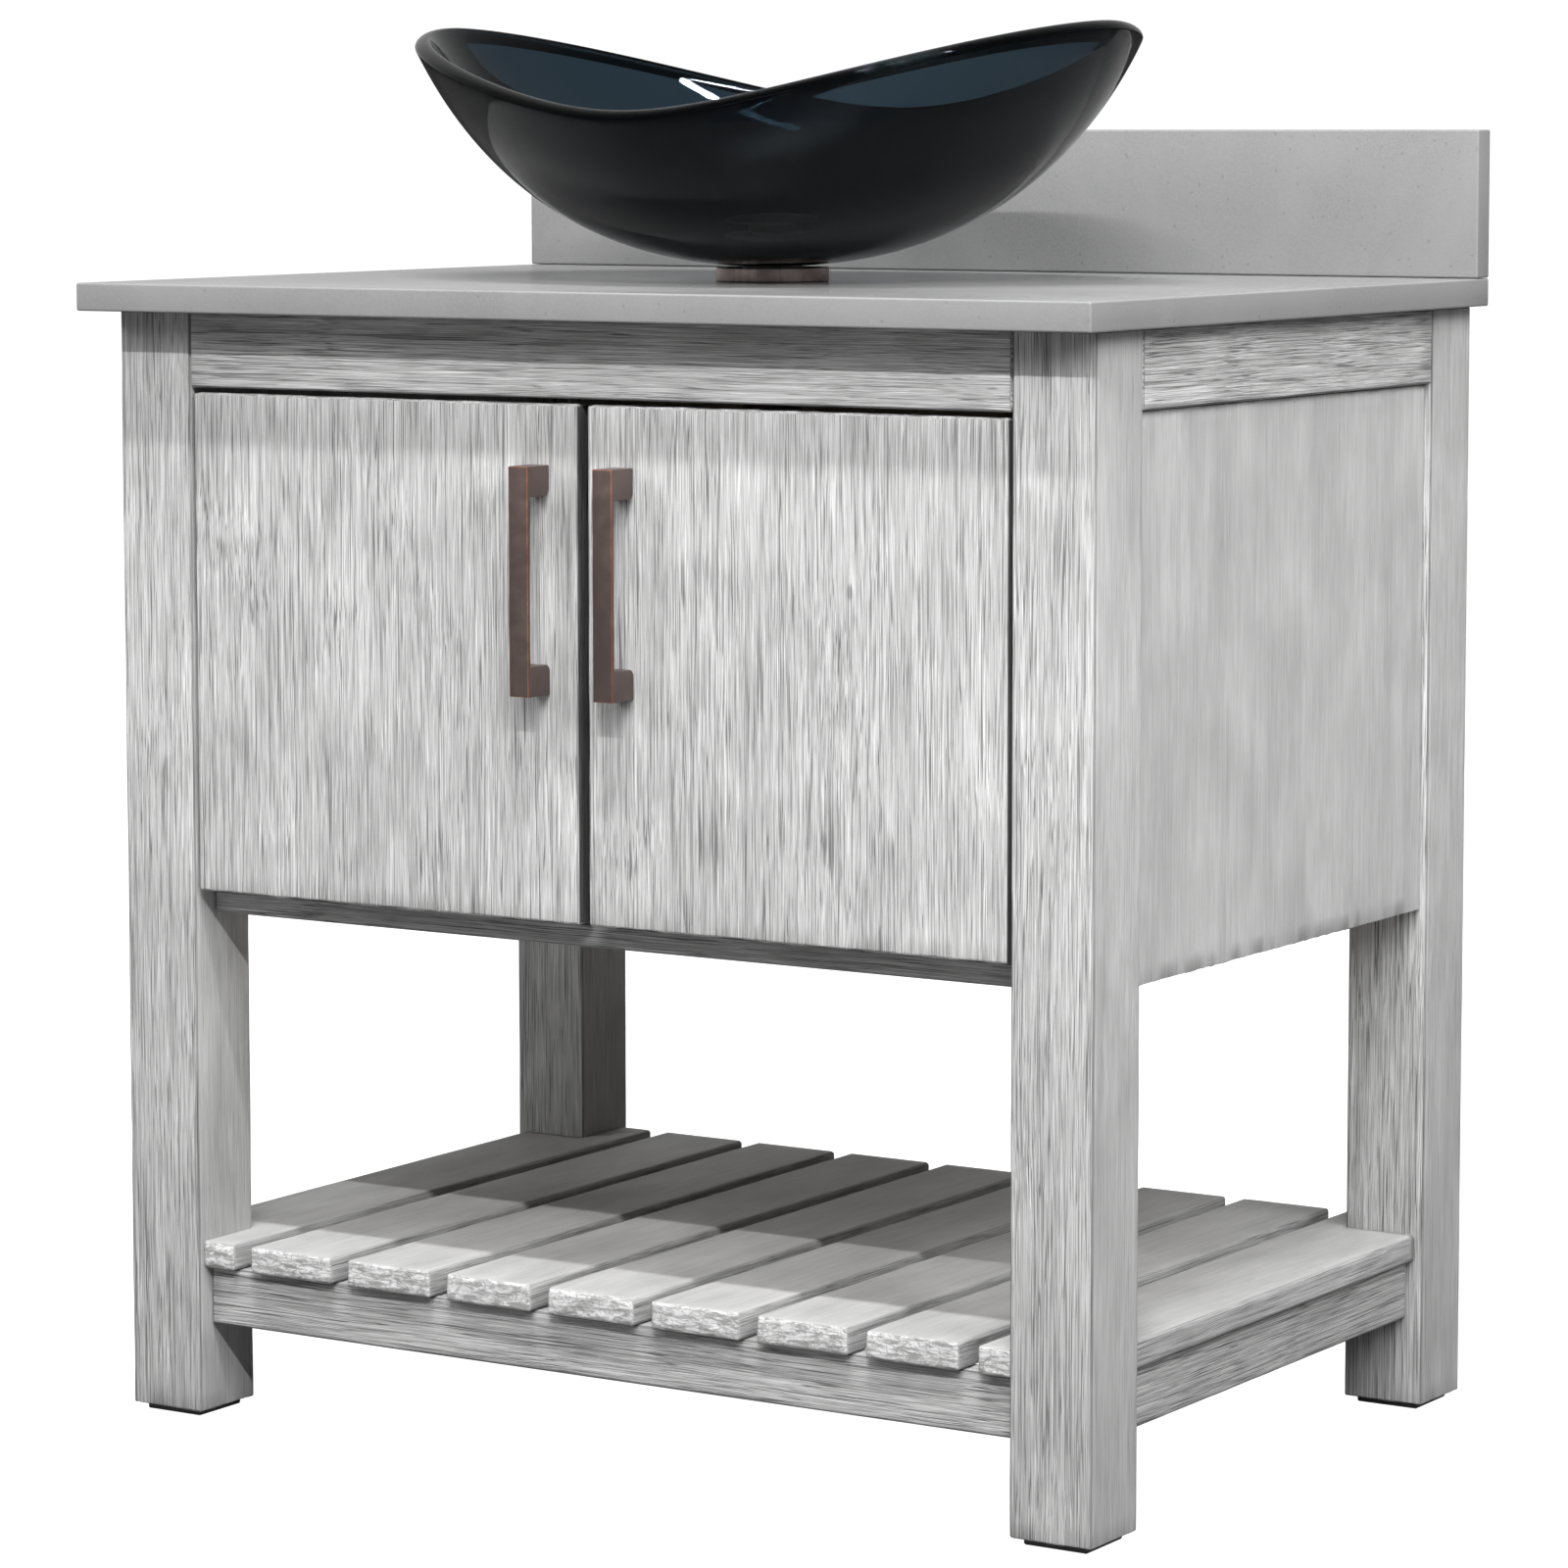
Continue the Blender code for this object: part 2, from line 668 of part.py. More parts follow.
def basin_outer(angle, t):
    """A point on the outside of the glass. The angle runs round the basin, t from base to rim."""
    cosine = math.cos(angle)
    sine = math.sin(angle)
    plan = Vector(
        (
            BASIN_HALF_LENGTH * cosine,
            BASIN_HALF_WIDTH * math.copysign(abs(sine) ** BASIN_PLAN_POWER, sine),
        )
    )
    along, along_up = wall_point(WALL_ALONG, t)
    across, across_up = wall_point(WALL_ACROSS, t)
    share = cosine * cosine
    out = across + (along - across) * share
    up = across_up + (along_up - across_up) * share
    rim = BASIN_MIDDLE_Z + (BASIN_TIP_Z - BASIN_MIDDLE_Z) * rim_lift(cosine)
    return Vector((plan.x * out, BASIN_Y + plan.y * out, BASIN_BASE_Z + (rim - BASIN_BASE_Z) * up))


def start_of_wall(angle, radius):
    """The t at which the outside of the glass is a given distance from the drain's axis."""
    low, high = 0.0, 1.0
    for _ in range(40):
        middle = (low + high) / 2
        point = basin_outer(angle, middle)
        if math.hypot(point.x, point.y - BASIN_Y) < radius:
            low = middle
        else:
            high = middle
    return high


def basin_normal(angle, t):
    """The outward unit normal of the outside surface."""
    step = 1e-4
    around = basin_outer(angle + step, t) - basin_outer(angle - step, t)
    along = basin_outer(angle, min(t + step, 1.0)) - basin_outer(angle, t - step)
    return around.cross(along).normalized()


def make_basin():
    """The glass wall: outside up, over the round lip, and inside down to the drain hole."""
    shape = bmesh.new()
    columns = []
    for i in range(BASIN_AROUND):
        angle = math.tau * i / BASIN_AROUND
        start = start_of_wall(angle, BASIN_HOLE_RADIUS)
        steps = [start + (1 - start) * j / BASIN_UP for j in range(BASIN_UP + 1)]
        outer = [basin_outer(angle, t) for t in steps]
        inner = [p - basin_normal(angle, t) * BASIN_GLASS for p, t in zip(outer, steps)]
        ray = outer[0] - Vector((0, BASIN_Y, outer[0].z))
        inner[0] = Vector((0, BASIN_Y, inner[0].z)) + ray
        middle = (outer[-1] + inner[-1]) / 2
        across = (outer[-1] - inner[-1]) / 2
        rise = (outer[-1] - outer[-2]).normalized() * across.length
        lip = []
        for k in range(1, BASIN_LIP):
            turn = math.pi * k / BASIN_LIP
            rounded = rise * math.sin(turn) * BASIN_LIP_ROUND
            lip.append(middle + across * math.cos(turn) + rounded)
        columns.append([shape.verts.new(p) for p in outer + lip + inner[::-1]])
    for i, column in enumerate(columns):
        beside = columns[(i + 1) % BASIN_AROUND]
        for j in range(len(column)):
            k = (j + 1) % len(column)
            shape.faces.new((column[j], beside[j], beside[k], column[k]))
    basin = to_object("glass_basin", shape, "smoked_glass", smooth=True)
    move_origin(basin, (0, BASIN_Y, BASIN_BASE_Z))


# ---------------------------------------------------------------- ring and drain


def make_mounting_ring():
    profile = [
        (RING_INNER_RADIUS, CLEAR),
        (RING_RADIUS, CLEAR),
        (RING_RADIUS, RING_HEIGHT - RING_EDGE),
        (RING_RADIUS - RING_EDGE, RING_HEIGHT),
        (RING_SEAT_RADIUS, RING_HEIGHT),
        (RING_SEAT_RADIUS, RING_SEAT_HEIGHT),
        (RING_INNER_RADIUS, RING_SEAT_HEIGHT),
    ]
    turned("mounting_ring", profile, (0, BASIN_Y, TOP_Z), "ring_bronze")


def make_seals():
    """Rubber washers: between ring and glass, between glass and flange, and under the top."""
    base = BASIN_BASE_Z - TOP_Z
    make_washer("seal_ring", RING_SEAL, RING_SEAT_HEIGHT + CLEAR, base - CLEAR)
    flange_seal_low = base + BASIN_GLASS + FLANGE_SEAL_LIFT
    make_washer("seal_flange", FLANGE_SEAL, flange_seal_low, flange_seal_low + FLANGE_SEAL_THICK)
    under = -TOP_THICK - CLEAR
    make_washer("seal_underside", UNDER_SEAL, under - UNDER_SEAL_THICK, under)


def make_washer(name, radii, low, high):
    inner, outer = radii
    profile = [(inner, low), (outer, low), (outer, high), (inner, high)]
    turned(name, profile, (0, BASIN_Y, TOP_Z), "black_rubber", steps=24)


def flange_low():
    """Height of the underside of the drain flange."""
    return BASIN_BASE_Z + BASIN_GLASS + FLANGE_LIFT


def make_drain_body():
    """Flange in the basin, threaded pipe through the top, and a narrower tail below it."""
    flange = flange_low()
    flange_top = flange + FLANGE_THICK
    profile = [
        (PIPE_RADIUS, flange),
        (FLANGE_RADIUS - FLANGE_EDGE, flange),
        (FLANGE_RADIUS, flange + FLANGE_EDGE),
        (FLANGE_RADIUS - FLANGE_EDGE, flange_top),
        (PIPE_RADIUS, flange_top),
        (PIPE_BORE, flange - THROAT_DEPTH),
        (PIPE_BORE, PIPE_LOW + PIPE_TAPER),
        (TAIL_BORE, PIPE_LOW),
        (TAIL_BORE, TAIL_LOW),
        (TAIL_RADIUS, TAIL_LOW),
        (TAIL_RADIUS, PIPE_LOW - PIPE_STEP - PIPE_TAPER),
        (PIPE_RADIUS, PIPE_LOW - PIPE_STEP),
    ]
    body = turned("drain_body", profile, (0, BASIN_Y, 0), "aged_bronze", steps=32)
    # The webs hold the hub in the middle of the pipe and leave the water its way.
    for i in range(WEB_COUNT):
        web = block(
            f"drain_web_{i + 1}",
            (CARTRIDGE_RADIUS / 2, PIPE_BORE + WEB_OVERLAP),
            (-WEB_THICK / 2, WEB_THICK / 2),
            (HUB_LOW, HUB_HIGH),
            "aged_bronze",
            edge=0,
        )
        web.data.transform(Matrix.Translation((web.location.x, 0, 0)))
        web.rotation_euler.z = math.tau * i / WEB_COUNT
        web.location = (0, BASIN_Y, web.location.z)
        join(body, web)
    centre = (0, BASIN_Y, 0)
    join(body, cylinder("drain_hub", CARTRIDGE_RADIUS, HUB_LOW, HUB_HIGH, centre, "aged_bronze", 20))


def cartridge_floor():
    """Height of the floor inside the cartridge, which stands on the drain's hub."""
    return HUB_HIGH + CLEAR + CARTRIDGE_FLOOR


def make_cartridge():
    """A cup on the drain's hub, open at the top, that guides the cap's stem over its spring."""
    profile = [
        (0, HUB_HIGH + CLEAR),
        (CARTRIDGE_RADIUS, HUB_HIGH + CLEAR),
        (CARTRIDGE_RADIUS, CARTRIDGE_TOP),
        (CARTRIDGE_BORE, CARTRIDGE_TOP),
        (CARTRIDGE_BORE, cartridge_floor()),
        (0, cartridge_floor()),
    ]
    turned("drain_cartridge", profile, (0, BASIN_Y, 0), "dark_plastic", steps=20)


def make_spring():
    """The spring that lifts the cap, as a wire helix between cartridge floor and stem."""
    low = cartridge_floor() + SPRING_WIRE + CLEAR
    high = STEM_LOW - SPRING_WIRE - CLEAR
    per_turn = 8
    count = SPRING_TURNS * per_turn
    curve = bpy.data.curves.new("drain_spring", "CURVE")
    curve.dimensions = "3D"
    curve.bevel_depth = SPRING_WIRE
    curve.bevel_resolution = 0
    curve.use_fill_caps = True
    spline = curve.splines.new("POLY")
    spline.points.add(count)
    for i in range(count + 1):
        angle = math.tau * i / per_turn
        height = low + (high - low) * i / count
        x = SPRING_RADIUS * math.cos(angle)
        y = SPRING_RADIUS * math.sin(angle)
        spline.points[i].co = (x, y, height, 1)
    curve.materials.append(material("plated_steel"))
    spring = bpy.data.objects.new("drain_spring", curve)
    spring.location = (0, BASIN_Y, 0)
    bpy.context.scene.collection.objects.link(spring)


def make_cap():
    """The pop-up cap: a low dome on a neck and a stem, standing raised over the flange."""
    low = flange_low() + FLANGE_THICK + CAP_LIFT
    edge_low = low + CLEAR
    edge_high = edge_low + CAP_EDGE_THICK
    neck_low = low - NECK_HEIGHT
    profile = [
        (0, STEM_LOW),
        (STEM_RADIUS, STEM_LOW),
        (STEM_RADIUS, neck_low - 2 * NECK_TAPER),
        (NECK_RADIUS - NECK_TAPER, neck_low - NECK_TAPER),
        (NECK_RADIUS, neck_low),
        (NECK_RADIUS, edge_low),
        (CAP_RADIUS - CAP_EDGE, edge_low),
        (CAP_RADIUS, edge_low + CAP_EDGE / 2),
        (CAP_RADIUS, edge_high),
        (CAP_RADIUS * 0.8, edge_high + CAP_DOME_RISE * (1 - 0.8**2)),
        (CAP_RADIUS * 0.5, edge_high + CAP_DOME_RISE * (1 - 0.5**2)),
        (0, edge_high + CAP_DOME_RISE),
    ]
    turned("drain_cap", profile, (0, BASIN_Y, 0), "aged_bronze", steps=36)


def make_nut():
    """A six-sided nut that pulls the drain down onto the countertop from below."""
    high = TOP_UNDERSIDE - 2 * CLEAR - UNDER_SEAL_THICK
    low = high - NUT_HEIGHT
    corner = NUT_ACROSS / math.sqrt(3)
    angles = [math.tau * i / 6 for i in range(6)]
    outline = [(corner * math.cos(a), BASIN_Y + corner * math.sin(a)) for a in angles]
    nut = extruded("drain_nut", outline, low, high, "z", "aged_bronze")
    soften(nut, NUT_EDGE)
    hole = (PIPE_RADIUS + CLEAR, low - NUT_HEIGHT, high + NUT_HEIGHT)
    cut(nut, cylinder("drain_nut_bore", *hole, (0, BASIN_Y, 0), "aged_bronze", steps=32))


def main():
    clear_scene()
    make_countertop()
    make_backsplash()
    make_legs()
    make_glides()
    make_top_rails()
    make_side_panels()
    make_cabinet_floor()
    make_back_panel()
    make_shelf_rails()
    make_slats()
    make_door("left", -1)
    make_door("right", 1)
    make_basin()
    make_mounting_ring()
    make_seals()
    make_drain_body()
    make_cartridge()
    make_spring()
    make_cap()
    make_nut()


main()
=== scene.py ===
"""Looks of the bathroom vanity: brushed grey timber, polished stone, smoked glass and bronze.

Metres, +Z up, -Y is the front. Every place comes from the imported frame.
"""

import json
import math

import bmesh
import bpy
import numpy as np
from mathutils import Matrix, Vector


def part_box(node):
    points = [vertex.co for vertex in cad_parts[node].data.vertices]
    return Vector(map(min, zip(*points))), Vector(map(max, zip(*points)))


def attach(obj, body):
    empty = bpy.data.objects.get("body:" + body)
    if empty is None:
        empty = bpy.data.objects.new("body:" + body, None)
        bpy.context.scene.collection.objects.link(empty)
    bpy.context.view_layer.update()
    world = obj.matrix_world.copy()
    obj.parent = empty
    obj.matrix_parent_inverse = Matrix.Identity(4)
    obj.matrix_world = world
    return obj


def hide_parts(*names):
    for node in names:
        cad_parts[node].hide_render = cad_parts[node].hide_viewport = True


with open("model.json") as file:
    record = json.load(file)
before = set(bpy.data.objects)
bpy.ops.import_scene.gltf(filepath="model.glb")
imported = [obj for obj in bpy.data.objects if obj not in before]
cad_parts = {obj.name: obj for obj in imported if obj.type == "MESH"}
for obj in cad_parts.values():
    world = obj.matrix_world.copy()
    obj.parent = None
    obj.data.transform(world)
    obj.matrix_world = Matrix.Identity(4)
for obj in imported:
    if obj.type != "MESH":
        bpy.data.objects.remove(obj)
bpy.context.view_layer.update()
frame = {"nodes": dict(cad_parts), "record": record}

RECORD = frame["record"]
BODY_OF = {node: body for body, nodes in RECORD["behaviour"]["bodies"].items() for node in nodes}
SLOT_OF = {row["node"]: row["material_slot"] for row in RECORD["subparts"]}

# Timber boards: size of their mesh cells, edge rounding and depth of the relief.
EDGE_STEPS = 3
STEP_ALONG = 0.012
STEP_ACROSS = 0.0032
TIMBER_ROUND = 0.0016
PANEL_ROUND = 0.0009
DOOR_ROUND = 0.0024
SLAT_ROUND = 0.0024
BRUSH_DEPTH = 0.00010
EDGE_WEAR = 0.0006
END_WEAR = 0.0012
# The relief's noise, in cycles per metre along and across the grain.
BRUSH_NOISE = (3, 85, 85)
CHIP_NOISE = (45, 120, 120)
END_NOISE = (60, 90, 300)
# Each seed takes its wood from another place, this far on along and across the grain.
SEED_SHIFT = (1.37, 0.61, 0.83)

# How smooth the faces across X, Y and Z of a piece are: 0 is deeply brushed, 1 is planed.
LEG_CALM = (0.65, 0.0, 0.0)
PANEL_CALM = (0.8, 0.0, 0.0)
SLAT_CALM = (0.3, 0.0, 1.0)
# How much darker a planed face is than a brushed one.
CALM_TONE = 0.80
# How dark the glaze is along the edges of a piece, and how much of it slats and doors hold.
EDGE_TONE = 0.5
SLAT_GLAZE = 0.3
DOOR_GLAZE = 0.2
# Painted shade: the timber is painted darker toward the floor, where less light reaches it: by how much,
# and from what height.
FOOT_SHADE = 0.22
FOOT_HEIGHT = 0.5
# Painted shade: how dark the side, top and bottom edges of a door are painted, for the shade in the gaps
# round it.
DOOR_GAP_SHADE = (0.85, 0.0, 0.85)

# Slats: how many, the room left round a leg, and the first seed.
SLAT_COUNT = 9
NOTCH_GAP = 0.0003
SLAT_SEED = 40
DOOR_SEEDS = {"left": 61, "right": 62}

# Timber colours, as grey levels of the base colour, and how strongly they show.
TIMBER_DARK = 0.53
TIMBER_LIGHT = 0.63
LIME_GREY = 0.90
FURROW_GREY = 0.13
FURROW_STRENGTH = 0.90
HAIR_STRENGTH = 0.5
END_DARK = 0.30
END_LIGHT = 0.78
END_RING_GREY = 0.22
END_STRENGTH = 0.85
KNOT_GREY = 0.11
KNOT_STRENGTH = 0.6
# Grain lines: cycles per metre along and across the grain, and their width in the noise.
DARK_LINES = (6, 880, 0.052)
HAIR_LINES = (14, 1500, 0.060)
LIME_LINES = (9, 1200, 0.060)
# Where the lime's lines are taken from, away from those of the furrows.
LIME_OFFSET = (3.1, 0.7, 0.4)
# How far, in metres, and how slowly the lines wander from side to side.
GRAIN_SWAY = 0.006
SWAY_NOISE = (3, 7, 7)
# Noises of the timber's tone, in cycles per metre along and across the grain.
FADE_NOISE = (15, 190, 190)
STREAK_NOISE = (16, 1200, 1200)
BAND_NOISE = (5, 45, 45)
PATCH_NOISE = (7, 13, 13)
SMUDGE_NOISE = (16, 34, 34)
TORN_NOISE = (30, 80, 430)
END_RING_NOISE = (30, 90, 150)
KNOT_NOISE = (7, 17, 17)

# Stone slabs.
STONE_ROUND = 0.0014
STONE_STEP = 0.05
DRAIN_HOLE_RADIUS = 0.0225
STONE_DARK = 0.215
STONE_LIGHT = 0.248
GRIT_GREY = 0.275
FLECK_GREY = 0.15

# Door pockets for the hinge cups.
POCKET_RADIUS = 0.0176
POCKET_DEPTH = 0.0125

# Handles, as on the solids they stand for.
HANDLE_BAR = 0.003
HANDLE_POST = 0.020
HANDLE_POST_ROUND = 0.0045
HANDLE_EDGE = 0.00055
# Copper shows on faces within this depth of the front that are turned away from it.
HANDLE_WORN_DEPTH = 0.0007
HANDLE_FLAT_FACING = 0.985

# Edges sharper than this many degrees are shaded sharp.
SLAB_SHARP = 50
BASIN_SHARP = 60
METAL_SHARP = 35
HANDLE_BEVEL_ANGLE = 40

# Basin: the two curves of its wall, as on the solid it stands for.
BASIN_PLAN_POWER = 1.06
BASIN_TIP_Z = 0.9490
BASIN_MIDDLE_Z = 0.8905
BASIN_RIM_SOFTNESS = 0.35
BASIN_GLASS = 0.0115
BASIN_HOLE_RADIUS = 0.0225
BASIN_LIP_ROUND = 0.584
WALL_ALONG = (0.29, 0.24, 3.45)
WALL_ACROSS = (0.45, 0.26, 3.2)
BASIN_AROUND = 200
BASIN_UP = 44
BASIN_LIP = 10

# Ring and cap.
RING_ROUND = 0.0006
RING_INNER = 0.0230
RING_SEAT = (0.0340, 0.0019)
TURNED_STEPS = 96
CAP_STEM_RADIUS = 0.0056
CAP_NECK_RADIUS = 0.0155
CAP_NECK_LENGTH = 0.0078
CAP_TAPER = 0.003
CAP_EDGE = 0.003
CAP_DOME = 0.0032
CAP_LOWER_ROUND = 0.0015
CAP_UPPER_ROUND = 0.0012
CAP_DOME_SHARES = (0.85, 0.7, 0.55, 0.4, 0.2)

# How strongly the smoked glass mirrors the pale counter, as a share of plain glass.
GLASS_SHINE = (0.20, 0.23, 0.26, 1.0)
GLASS_TINT = (0.08, 0.20, 0.27, 1.0)
GLASS_DENSITY = 350.0
GLASS_INDEX = 1.5

# Camera, worked out once for the same view of the vanity as the reference.
CAMERA_PLACE = (2.0443, -3.2372, 0.8940)
CAMERA_YAW = 0.5722
CAMERA_PITCH = -0.1022
CAMERA_ROLL = -0.0019
CAMERA_LENS = 128.6
CAMERA_SHIFT = (0.03, -0.06)

# Studio: the brightness of the backdrop, which way it turns dark, and the floor.
STUDIO_WHITE = 1.05
STUDIO_DARK = 0.30
STUDIO_FILL = 0.06
STUDIO_MIRROR = 0.45
STUDIO_FRONT = -0.15
STUDIO_BACK = 0.35
FLOOR_TONE = 0.16
FLOOR_WASH = 1.05
FLOOR_HALF_SIDE = 30
FLOOR_DROP = 0.0005
FAR_CLIP = 100


# ---------------------------------------------------------------- numbers


def value_noise(points, seed):
    """Smooth noise from 0 to 1 on a unit lattice, for rows of three coordinates."""
    cell = np.floor(points).astype(np.int64)
    part = points - cell
    part = part * part * (3 - 2 * part)
    total = np.zeros(len(points))
    for corner in range(8):
        step = np.array([corner >> 2 & 1, corner >> 1 & 1, corner & 1])
        key = (cell + step) @ np.array([73856093, 19349663, 83492791]) + seed * 2654435761
        key = (key ^ (key >> 13)) * 1274126177 & 0xFFFFFFFF
        key = (key ^ (key >> 16)) * 668265263 & 0xFFFFFFFF
        weight = np.where(step, part, 1 - part).prod(axis=1)
        total += weight * (key & 0xFFFF) / 0xFFFF
    return total


def smooth_step(low, high, value):
    share = np.clip((value - low) / (high - low), 0, 1)
    return share * share * (3 - 2 * share)


# ---------------------------------------------------------------- meshes


def finish_piece(obj, material, nodes):
    """Gives a new piece its material and body, and hides the solids it stands for."""
    if material:
        obj.data.materials.append(material)
    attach(obj, BODY_OF[nodes[0]])
    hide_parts(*nodes)
    return obj


def object_of(name, mesh):
    obj = bpy.data.objects.new(name, mesh)
    bpy.context.scene.collection.objects.link(obj)
    return obj


def edge_ticks(length, radius, step):
    """Places along one side of a box: its two rounded edges and even steps between them."""
    turn = [radius * (1 - math.tan(math.pi / 4 * k / EDGE_STEPS)) for k in range(EDGE_STEPS, 0, -1)]
    count = max(1, round((length - 2 * radius) / step))
    inner = np.linspace(radius, length - radius, count + 1)
    return np.concatenate([turn, inner, length - np.array(turn)[::-1]])


def box_quads(counts):
    """Quads of the six grids that close a box of ticks, as places along X, Y and Z."""
    quads = []
    for axis in range(3):
        a, b = [other for other in range(3) if other != axis]
        first, second = np.meshgrid(np.arange(counts[a] - 1), np.arange(counts[b] - 1), indexing="ij")
        for end in (0, counts[axis] - 1):
            corner = np.zeros((first.size, 4, 3), np.int64)
            corner[:, :, axis] = end
            turn = [(0, 0), (1, 0), (1, 1), (0, 1)]
            if (end == 0) != (axis == 1):
                turn = turn[::-1]
            for k, (da, db) in enumerate(turn):
                corner[:, k, a] = first.ravel() + da
                corner[:, k, b] = second.ravel() + db
            quads.append(corner)
    return np.concatenate(quads)


def rounded_box(low, high, radius, steps):
    """Points, their outward directions and quads of a box with round edges, cut into cells."""
    low = np.array(low)
    size = np.array(high) - low
    ticks = [edge_ticks(size[axis], radius, steps[axis]) for axis in range(3)]
    counts = [len(t) for t in ticks]
    corners = box_quads(counts)
    keys = (corners[..., 0] * counts[1] + corners[..., 1]) * counts[2] + corners[..., 2]
    used, index = np.unique(keys.ravel(), return_inverse=True)
    places = np.stack([used // (counts[1] * counts[2]), used // counts[2] % counts[1], used % counts[2]], 1)
    points = np.stack([ticks[axis][places[:, axis]] for axis in range(3)], 1)
    inner = np.clip(points, radius, size - radius)
    out = points - inner
    out /= np.linalg.norm(out, axis=1)[:, None]
    return inner + out * radius + low, out, index.reshape(-1, 4)


def mesh_of(name, points, quads):
    mesh = bpy.data.meshes.new(name)
    mesh.vertices.add(len(points))
    mesh.vertices.foreach_set("co", np.asarray(points, np.float32).ravel())
    mesh.loops.add(quads.size)
    mesh.loops.foreach_set("vertex_index", quads.ravel().astype(np.int32))
    mesh.polygons.add(len(quads))
    mesh.polygons.foreach_set("loop_start", np.arange(0, quads.size, 4, dtype=np.int32))
    mesh.update(calc_edges=True)
    mesh.validate()
    mesh.shade_smooth()
    return mesh


def ring_mesh(name, points):
    """A closed skin over a grid of points that joins up both ways, as round a tyre."""
    around, up = points.shape[:2]
    i, j = np.meshgrid(np.arange(around), np.arange(up), indexing="ij")
    beside = (i + 1) % around
    above = (j + 1) % up
    corners = [i * up + j, beside * up + j, beside * up + above, i * up + above]
    quads = np.stack([corner.ravel() for corner in corners], 1)
    return mesh_of(name, points.reshape(-1, 3), quads)


def set_attribute(mesh, name, values):
    values = np.asarray(values, np.float32)
    vector = values.ndim == 2
    made = mesh.attributes.new(name, "FLOAT_VECTOR" if vector else "FLOAT", "POINT")
    made.data.foreach_set("vector" if vector else "value", values.ravel())


def cut(obj, cutter):
    """Takes a shape out of a piece for good."""
    boolean = obj.modifiers.new("cut", "BOOLEAN")
    boolean.operation = "DIFFERENCE"
    boolean.solver = "EXACT"
    boolean.object = cutter
    bpy.context.view_layer.update()
    graph = bpy.context.evaluated_depsgraph_get()
    cut_mesh = bpy.data.meshes.new_from_object(obj.evaluated_get(graph))
    old = obj.data
    obj.modifiers.remove(boolean)
    obj.data = cut_mesh
    bpy.data.meshes.remove(old)
    bpy.data.objects.remove(cutter)


def box_cutter(low, high):
    points, _, quads = rounded_box(low, high, 1e-6, (1, 1, 1))
    return object_of("cutter", mesh_of("cutter", points, quads))


def round_cutter(centre, radius, depth, axis="z"):
    shape = bmesh.new()
    bmesh.ops.create_cone(shape, cap_ends=True, segments=48, radius1=radius, radius2=radius, depth=depth)
    if axis == "y":
        bmesh.ops.rotate(shape, verts=shape.verts, matrix=Matrix.Rotation(math.pi / 2, 3, "X"))
    bmesh.ops.translate(shape, verts=shape.verts, vec=centre)
    mesh = bpy.data.meshes.new("cutter")
    shape.to_mesh(mesh)
    shape.free()
    return object_of("cutter", mesh)


# ---------------------------------------------------------------- timber pieces


def grain_vector(points, middle, along, seed):
    """Each point's place along and across the grain."""
    order = [along] + [axis for axis in range(3) if axis != along]
    return points[:, order] - middle[order] + np.array(SEED_SHIFT) * seed


def relief_depth(grain, edge, end, seed):
    """How far each point is worn back: brush furrows, chipped edges and rough ends."""
    furrow = value_noise(grain * BRUSH_NOISE, seed)
    chips = value_noise(grain * CHIP_NOISE, seed + 2) ** 2
    rough = value_noise(grain * END_NOISE, seed + 3) ** 1.5
    return BRUSH_DEPTH * furrow * (1 - end) + EDGE_WEAR * edge * chips + END_WEAR * end * rough


def board(node, along, radius=TIMBER_ROUND, calm=(0, 0, 0), painted_shade=(0, 0, 0), glaze=1.0, cutters=(), seed=0):
    """A solid board with brushed relief, worn edges and rough ends.

    along is the grain's axis. calm is how smooth its faces across X, Y and Z are, 0 to 1, and
    painted_shade how much darker they are painted, as shade, 0 to 1. glaze is how much dark glaze its edges
    hold.
    The lower part of every board is also painted darker, as shade toward the floor.
    """
    low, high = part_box(node)
    steps = [STEP_ACROSS] * 3
    steps[along] = STEP_ALONG
    points, out, quads = rounded_box(low, high, radius, steps)
    middle = (np.array(low) + np.array(high)) / 2
    grain = grain_vector(points, middle, along, seed)
    facing = np.abs(out)
    end = smooth_step(0.3, 0.9, facing[:, along])
    edge = smooth_step(1.05, 1.35, facing.sum(axis=1))
    points = points - out * relief_depth(grain, edge, end, seed)[:, None]
    mesh = mesh_of(node, points, quads)
    set_attribute(mesh, "grain", grain)
    set_attribute(mesh, "edge", edge * glaze)
    set_attribute(mesh, "end", end)
    set_attribute(mesh, "calm", (smooth_step(0.5, 0.9, facing) * np.array(calm)).max(axis=1))
    # Painted shade: faces across the axes given are darkened, and so is the lower part toward the floor.
    face_shade = (smooth_step(0.75, 0.97, facing) * np.array(painted_shade)).max(axis=1)
    # Painted shade: darker toward the floor, for the light that falls off low down.
    foot = FOOT_SHADE * smooth_step(-FOOT_HEIGHT, 0, -points[:, 2])
    set_attribute(mesh, "painted_shade", np.maximum(face_shade, foot))
    obj = object_of(node + "_timber", mesh)
    for cutter in cutters:
        cut(obj, cutter)
    return finish_piece(obj, TIMBER, [node])


def make_frame_timber():
    seed = 1
    for end in ("front", "rear"):
        for side in ("left", "right"):
            board(f"leg_{end}_{side}", along=2, calm=LEG_CALM, seed=seed)
            seed += 1
    for rail in ("rail_top_front", "rail_top_rear", "shelf_rail_front", "shelf_rail_rear", "floor_rail"):
        board(rail, along=0, seed=seed)
        seed += 1
    for side in ("left", "right"):
        board(f"rail_top_{side}", along=1, seed=seed)
        board(f"shelf_rail_{side}", along=1, seed=seed + 1)
        board(f"side_panel_{side}", along=2, radius=PANEL_ROUND, calm=PANEL_CALM, seed=seed + 2)
        seed += 3


